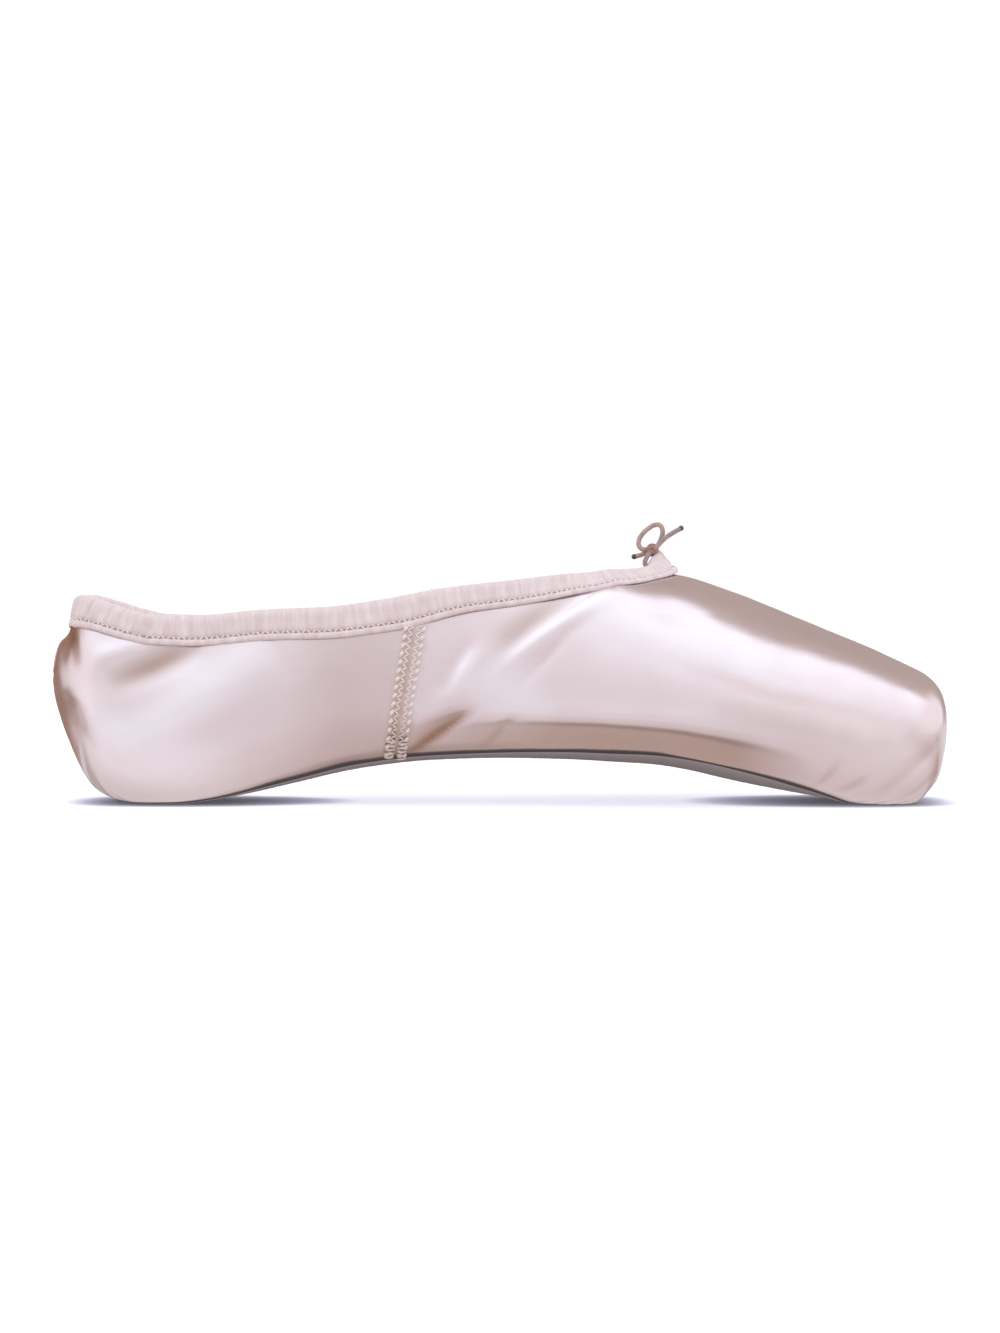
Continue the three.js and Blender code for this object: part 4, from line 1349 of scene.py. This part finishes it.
def sew(name, places, ahead, out, length, thickness, material, slot):
    """One mesh of stitches: their middles, their directions and the way out of the cloth."""
    points = []
    faces = []
    for middle, forward, up in zip(places, ahead, out):
        side = np.cross(up, forward)
        side /= np.linalg.norm(side)
        forward = np.cross(side, up)
        shaped = pattern_points * [length, thickness, thickness * STITCH_FLATNESS]
        shaped[:, 2] -= STITCH_DIVE * thickness * (2 * pattern_points[:, 0]) ** 2
        start = len(points) * len(pattern_points)
        points.append(middle + shaped @ np.stack([forward, side, up]))
        faces += [tuple(i + start for i in face) for face in pattern_faces]
    data = bpy.data.meshes.new(name)
    data.from_pydata(np.vstack(points).tolist(), [], faces)
    piece = bpy.data.objects.new(name, data)
    bpy.context.scene.collection.objects.link(piece)
    data.polygons.foreach_set("use_smooth", [True] * len(data.polygons))
    data.materials.append(material)
    finish_piece(piece, slot)
    return piece


print("one stitch has", len(pattern_points), "points and", len(pattern_faces), "faces")

# %% [markdown]
# The casing is sewn down by a row of stitches that lean to and fro, with the needle's holes
# between them. Around the knot no stitch shows. The holes are marks of painted shade: darker
# marks that lie a little deeper than the thread.

# %% Hem the casing
thread = new_material("pale thread", (0.86, 0.76, 0.75), 0.6, Sheen_Weight=0.3)
# painted shade in the needle holes: darker marks between the stitches
needle_hole_shade = new_material("needle hole shade", (0.50, 0.35, 0.34), 0.9)
HEM_PITCH = 1.35 * MM
HEM_STITCH = 1.9 * MM
HEM_DOWN = 6.75
BARE_THROAT = 0.012
hem_count = int(collar_length / HEM_PITCH) // 2 * 2


def hem_row(phase, tilt, off):
    """Places, directions and ways out of marks along the hem that lean to and fro."""
    row_shares = (np.arange(hem_count) + phase) / hem_count
    middles = casing_place(row_shares, HEM_DOWN, off)
    ahead = around_loop(middles)
    up = outwards(onto_last(middles))
    lean = np.where(np.arange(hem_count) % 2 == 0, tilt, -tilt)[:, None]
    keep = np.abs(row_shares - np.round(row_shares)) > BARE_THROAT
    return middles[keep], (ahead + lean * np.cross(up, ahead))[keep], up[keep]


# phase, lean and height off the last in millimetres
sew("casing_stitches", *hem_row(0.5, 0.9, 0.75), HEM_STITCH, 0.5 * MM, thread, "cotton")
sew("needle_holes", *hem_row(0.0, -0.7, 0.5), 1.35 * MM, 0.55 * MM, needle_hole_shade, "cotton")
print("hem of", hem_count, "stitches")

# %% [markdown]
# The side seams are held by two rows of thick twisted stitches, one along each edge of the lapped
# strip, and finer cross stitches between them. Both seams are sewn at once, each row on its own
# offset from the middle of the strip.

# %% Sew the side seams
# offset, pitch, tilt, phase, height of each row, in millimetres
EDGE_ROWS = [(-2.35, 2.1, 0.5, 0.0, 0.75), (2.35, 2.1, 0.5, 0.25, 0.75)]
CROSS_ROWS = [
    (-1.1, 1.7, 1.3, 0.0, 0.62), (-1.1, 1.7, -1.3, 0.5, 0.62),
    (1.1, 1.7, 1.3, 0.5, 0.62), (1.1, 1.7, -1.3, 0.0, 0.62),
]


def seam_row(offset, pitch, side, phase=0.0):
    """Places, directions and ways out for a row along the leaning side seam."""
    count = int(SEAM_LENGTH / pitch)
    climb = (np.arange(count) + 0.5 + phase) / count * SEAM_LENGTH
    flat = SEAM_FOOT + np.outer(climb, SEAM_UP) + SEAM_ACROSS * offset
    x = flat[:, 0] + SHIFT
    rise = flat[:, 1] - belly(x)
    square, reach = half_section(x, rise > 0)
    share = np.clip(np.abs(rise) / reach, 0, 0.999)
    y = side * half_width(x) * (1 - share**square) ** (1 / square)
    start = np.stack([x, y, flat[:, 1]], axis=-1)
    return start, unit(np.gradient(start, axis=0)), outwards(start)


def sew_rows(name, rows, length, thickness):
    """One mesh from rows of places, directions and ways out."""
    places, ahead, out = (np.vstack(part) for part in zip(*rows))
    sew(name, places, ahead, out, length, thickness, thread, "cotton")


def seam_rows(table):
    """The rows of a table on both sides of the shoe."""
    rows = []
    for side in (-1, 1):
        for offset, pitch, tilt, phase, height in table:
            start, ahead, out = seam_row(offset * MM, pitch * MM, side, phase)
            lean = ahead + tilt * side * np.cross(out, ahead)
            rows.append((start + out * height * MM, lean, out))
    return rows


sew_rows("side_seam_rows", seam_rows(EDGE_ROWS), 2.0 * MM, 1.05 * MM)
sew_rows("side_seam_crosses", seam_rows(CROSS_ROWS), 2.0 * MM, 0.42 * MM)
print("rows on both sides:", 2 * len(EDGE_ROWS), "thick and", 2 * len(CROSS_ROWS), "fine")

# %% [markdown]
# ## Bartacks
# At its foot each seam is locked by bartacks, stitches laid straight across the strip and close
# together. They take the same row, but only its lowest places, with the thread turned across.

# %% Lock the seams with bartacks
BARTACK_ROWS = 5
BARTACK_PITCH = 1.05 * MM
BARTACK_OFFSET = 1.6 * MM
BARTACK_HEIGHT = 0.8

tacks = []
for side in (-1, 1):
    for offset in (-BARTACK_OFFSET, BARTACK_OFFSET):
        start, ahead, out = seam_row(offset, BARTACK_PITCH, side)
        foot = slice(0, BARTACK_ROWS)
        lifted = start + out * BARTACK_HEIGHT * MM
        tacks.append((lifted[foot], np.cross(out, ahead)[foot], out[foot]))
sew_rows("side_seam_bartacks", tacks, 2.9 * MM, 0.6 * MM)
print("bartacks", BARTACK_ROWS * len(tacks))

# %% [markdown]
# ## Floor and backdrop
# The photo has a bare white floor and no horizon, and a pale blue shadow close to the shoe. A
# plane and a wide glowing wall around it stand for the studio. The floor's paint is a mid grey
# that its own lamps bring to white, and it darkens where ambient occlusion finds the shoe near.
# Satin would mirror a bare floor as a blank, where a photographer would set cards around the shoe,
# so both are left out of glossy reflections, and the floor lends no light to the shoe either.

# %% Build the studio
SHADOW_REACH = 9 * MM
# how open the floor is there, and its colour
FLOOR_TINTS = [(0.0, (0.01, 0.01, 0.012)), (0.5, (0.14, 0.14, 0.165)), (0.95, (0.35, 0.35, 0.36))]
BACKDROP_GLOW = 1.02
WALL_AWAY = 6


def stage_piece(name, material, **seen_by):
    """Names and paints the new mesh, and says which rays see it."""
    piece = bpy.context.active_object
    piece.name = name
    piece.data.materials.append(material)
    for rays, value in seen_by.items():
        setattr(piece, "visible_" + rays, value)
    return piece


white = new_material("white paper", (0.35, 0.35, 0.36), 1.0)
near = add_node(white, "ShaderNodeAmbientOcclusion", {"Distance": SHADOW_REACH}, samples=8)
plug(white, "Base Color", tint_in(white, near.outputs["AO"], FLOOR_TINTS))
bpy.ops.mesh.primitive_plane_add(size=16)
floor = stage_piece("floor", white, glossy=False, diffuse=False)
glow = new_material("lit backdrop", (0.0, 0.0, 0.0), 1.0, Emission_Strength=BACKDROP_GLOW)
bpy.ops.mesh.primitive_cylinder_add(
    vertices=64, radius=WALL_AWAY, depth=6, end_fill_type="NOTHING", location=(0, 0, 3 - 0.01)
)
stage_piece("backdrop", glow, glossy=False)
print("floor", floor.dimensions.x, "m wide, wall", WALL_AWAY, "m away")

# %% [markdown]
# ## A card that only the satin mirrors
# Under the arch the photo's satin mirrors a brown band, and a paler one elsewhere near the
# floor. A photographer gets such bands from cards laid beside the shoe. This card lies under the
# floor, glows by itself, and only glossy rays see it, so it colours reflections and nothing
# else. Its colour runs with the distance from the shoe's middle line: one table holds under the
# arch and one everywhere else. A brown patch beyond the heel's far side darkens the back edge.

# %% List the card's colours
# distance from the middle line in millimetres and the colour there, under the arch
ARCH_CARD = [
    (0, (0.52, 0.42, 0.37)),
    (33, (0.50, 0.39, 0.33)),
    (39, (0.29, 0.215, 0.175)),
    (45, (0.31, 0.235, 0.19)),
    (54, (0.71, 0.64, 0.63)),
    (110, (0.74, 0.70, 0.72)),
    (260, (0.80, 0.77, 0.81)),
]
# the same for the rest of the shoe
OPEN_CARD = [
    (0, (0.42, 0.34, 0.32)),
    (8, (0.52, 0.44, 0.42)),
    (14, (0.76, 0.69, 0.69)),
    (40, (0.80, 0.73, 0.75)),
    (110, (0.80, 0.75, 0.79)),
    (260, (0.80, 0.77, 0.81)),
]
# place along the shoe in millimetres and how much of the arch's table counts there
ARCH_ENDS = [(-34, 0.0), (-12, 0.45), (12, 1.0), (60, 1.0), (84, 0.0)]
CARD_REACH = 300.0
CARD_HALF = 150
HEEL_BROWN = (0.25, 0.11, 0.05)
# the brown patch fades in over these places, in millimetres
HEEL_ALONG = (-106, -114)
HEEL_ACROSS = (34, 60)
print("card tables of", len(ARCH_CARD), "and", len(OPEN_CARD), "colours")

# %% [markdown]
# Two ramps read those tables by the distance from the middle line. A third one, along the shoe,
# says which of them holds, and the heel's patch is the product of two ranges.

# %% Mix the card
def patch_in(owner, *ranges):
    """Where all of several numbers are within reach, each a number with its start and end."""
    patch = None
    for value, start, end in ranges:
        share = range_in(owner, value, start, end)
        patch = share if patch is None else math_in(owner, "MULTIPLY", patch, share)
    return patch


paint = new_material("mirrored card", (0.0, 0.0, 0.0), 1.0, Emission_Strength=1.0)
spot = add_node(paint, "ShaderNodeSeparateXYZ", {"Vector": places_in(paint)}).outputs
off_middle = range_in(paint, math_in(paint, "ABSOLUTE", spot["Y"]), 0.0, CARD_REACH * MM)
open_card, arch_card = (
    tint_in(paint, off_middle, [(off / CARD_REACH, colour) for off, colour in table])
    for table in (OPEN_CARD, ARCH_CARD)
)
card_along = range_in(paint, spot["X"], -CARD_HALF * MM, CARD_HALF * MM)
levels = [((x + CARD_HALF) / (2 * CARD_HALF), (level,) * 3) for x, level in ARCH_ENDS]
card_colour = mix_in(paint, tint_in(paint, card_along, levels), open_card, arch_card)
behind = (spot["X"], HEEL_ALONG[0] * MM, HEEL_ALONG[1] * MM)
beside = (spot["Y"], HEEL_ACROSS[0] * MM, HEEL_ACROSS[1] * MM)
heel_patch = patch_in(paint, behind, beside)
plug(paint, "Emission Color", mix_in(paint, heel_patch, card_colour, HEEL_BROWN))
print("card mixed from", len(paint.node_tree.nodes), "nodes")

# %% [markdown]
# The card is a plane, a millimetre under the floor, so that no camera ray can meet it first. It
# is switched off for every kind of ray but the glossy ones.

# %% Lay the card
bpy.ops.mesh.primitive_plane_add(size=4, location=(0, 0, -1 * MM))
hidden = {"camera": False, "diffuse": False, "shadow": False, "transmission": False}
card = stage_piece("mirrored card", paint, **hidden)
print("card", card.dimensions.x, "m wide")

# %% [markdown]
# ## The sky
# The sky stands for the lamps and cards, and lights the shoe. An area lamp would leave most of
# the satin black, as it mirrors all directions. The sky's colour depends on the angle around the
# shoe's length: it brightens from the floor up to a lamp almost overhead, with a hard edge there,
# then come dark cards above and behind, and warm shade from below. Satin mirrors that edge as the
# border between the bright side and the dark top of the vamp. A pale light stands at each end of
# the shoe, and a brown shade in the far corner behind the heel.

# %% List the sky's colours
# angle in degrees from the camera's side up over the shoe, and the colour of the light from there
SKY = [
    (-180, (0.40, 0.31, 0.26)),
    (-90, (0.60, 0.48, 0.40)),
    (-70, (0.50, 0.39, 0.32)),
    (-60, (0.42, 0.32, 0.25)),
    (-50, (0.66, 0.58, 0.56)),
    (-20, (0.70, 0.65, 0.66)),
    (4, (0.80, 0.78, 0.82)),
    (34, (0.95, 0.95, 1.00)),
    (52, (1.12, 1.20, 1.31)),
    (95, (1.42, 1.55, 1.72)),
    (104, (0.48, 0.375, 0.315)),
    (140, (0.42, 0.325, 0.27)),
    (180, (0.40, 0.31, 0.26)),
]
SIDE_LIGHT = (1.06, 1.03, 1.08)
SIDE_SHIFT = 0.12
BEHIND_HEEL = (0.25, 0.08, 0.01)
STRENGTH = 2.0
# how far to the side the end lights start and are full, and from how high
END_REACH = (0.62, 0.82)
END_HEIGHT = (-0.2, 0.1)
# the brown shade fades in with the way across and the way back
SHADE_ACROSS = (0.50, 0.70)
SHADE_BACK = (-0.04, -0.20)
print("sky of", len(SKY), "colours")

# %% [markdown]
# The direction in which a ray leaves gives the angle: the arc tangent of its way up and its way
# towards the camera's side. A ramp can't hold more than white, so all colours are divided by the
# sky's strength.

# %% Paint the sky
def dimmed(colour):
    """A colour as the background needs it, before its strength is applied."""
    return tuple(level / STRENGTH for level in colour)


world = bpy.data.worlds.new("studio")
bpy.context.scene.world = world
world.use_nodes = True
way = add_node(world, "ShaderNodeSeparateXYZ", {"Vector": places_in(world, "Generated")}).outputs
front = math_in(world, "MULTIPLY", way["Y"], -1.0)
around = range_in(world, math_in(world, "ARCTAN2", way["Z"], front), -math.pi, math.pi)
sky = tint_in(world, around, [((turn + 180) / 360, dimmed(colour)) for turn, colour in SKY])
to_end = math_in(world, "ABSOLUTE", math_in(world, "ADD", way["X"], SIDE_SHIFT))
ends = patch_in(world, (to_end, *END_REACH), (way["Z"], *END_HEIGHT))
sky = mix_in(world, ends, sky, dimmed(SIDE_LIGHT))
corner_shade = patch_in(world, (way["Y"], *SHADE_ACROSS), (way["X"], *SHADE_BACK))
sky = mix_in(world, corner_shade, sky, dimmed(BEHIND_HEEL))
background = world.node_tree.nodes["Background"]
world.node_tree.links.new(sky, background.inputs["Color"])
background.inputs["Strength"].default_value = STRENGTH
print("sky mixed from", len(world.node_tree.nodes), "nodes")

# %% [markdown]
# ## Light on the floor
# Two suns light only the floor, by light linking. The strong one casts no shadow and brings the
# floor to white. The weak one is very wide, so that its shadow around the shoe is broad and soft.
# With a single sun the shadow would be far darker than in the photo.

# %% Light the floor
floor_only = bpy.data.collections.new("floor only")
floor_only.objects.link(floor)


def floor_sun(name, energy, colour):
    """A sun straight above that lights the floor and nothing else."""
    data = bpy.data.lights.new(name, "SUN")
    data.energy = energy
    data.color = colour
    sun = bpy.data.objects.new(name, data)
    bpy.context.scene.collection.objects.link(sun)
    sun.light_linking.receiver_collection = floor_only
    return data


floor_sun("floor light", 7.0, (0.90, 0.90, 1.0)).use_shadow = False
floor_sun("floor shade", 0.9, (0.93, 0.96, 1.0)).angle = math.radians(165)
bpy.context.scene.view_settings.view_transform = "Standard"
bpy.context.scene.view_settings.look = "None"
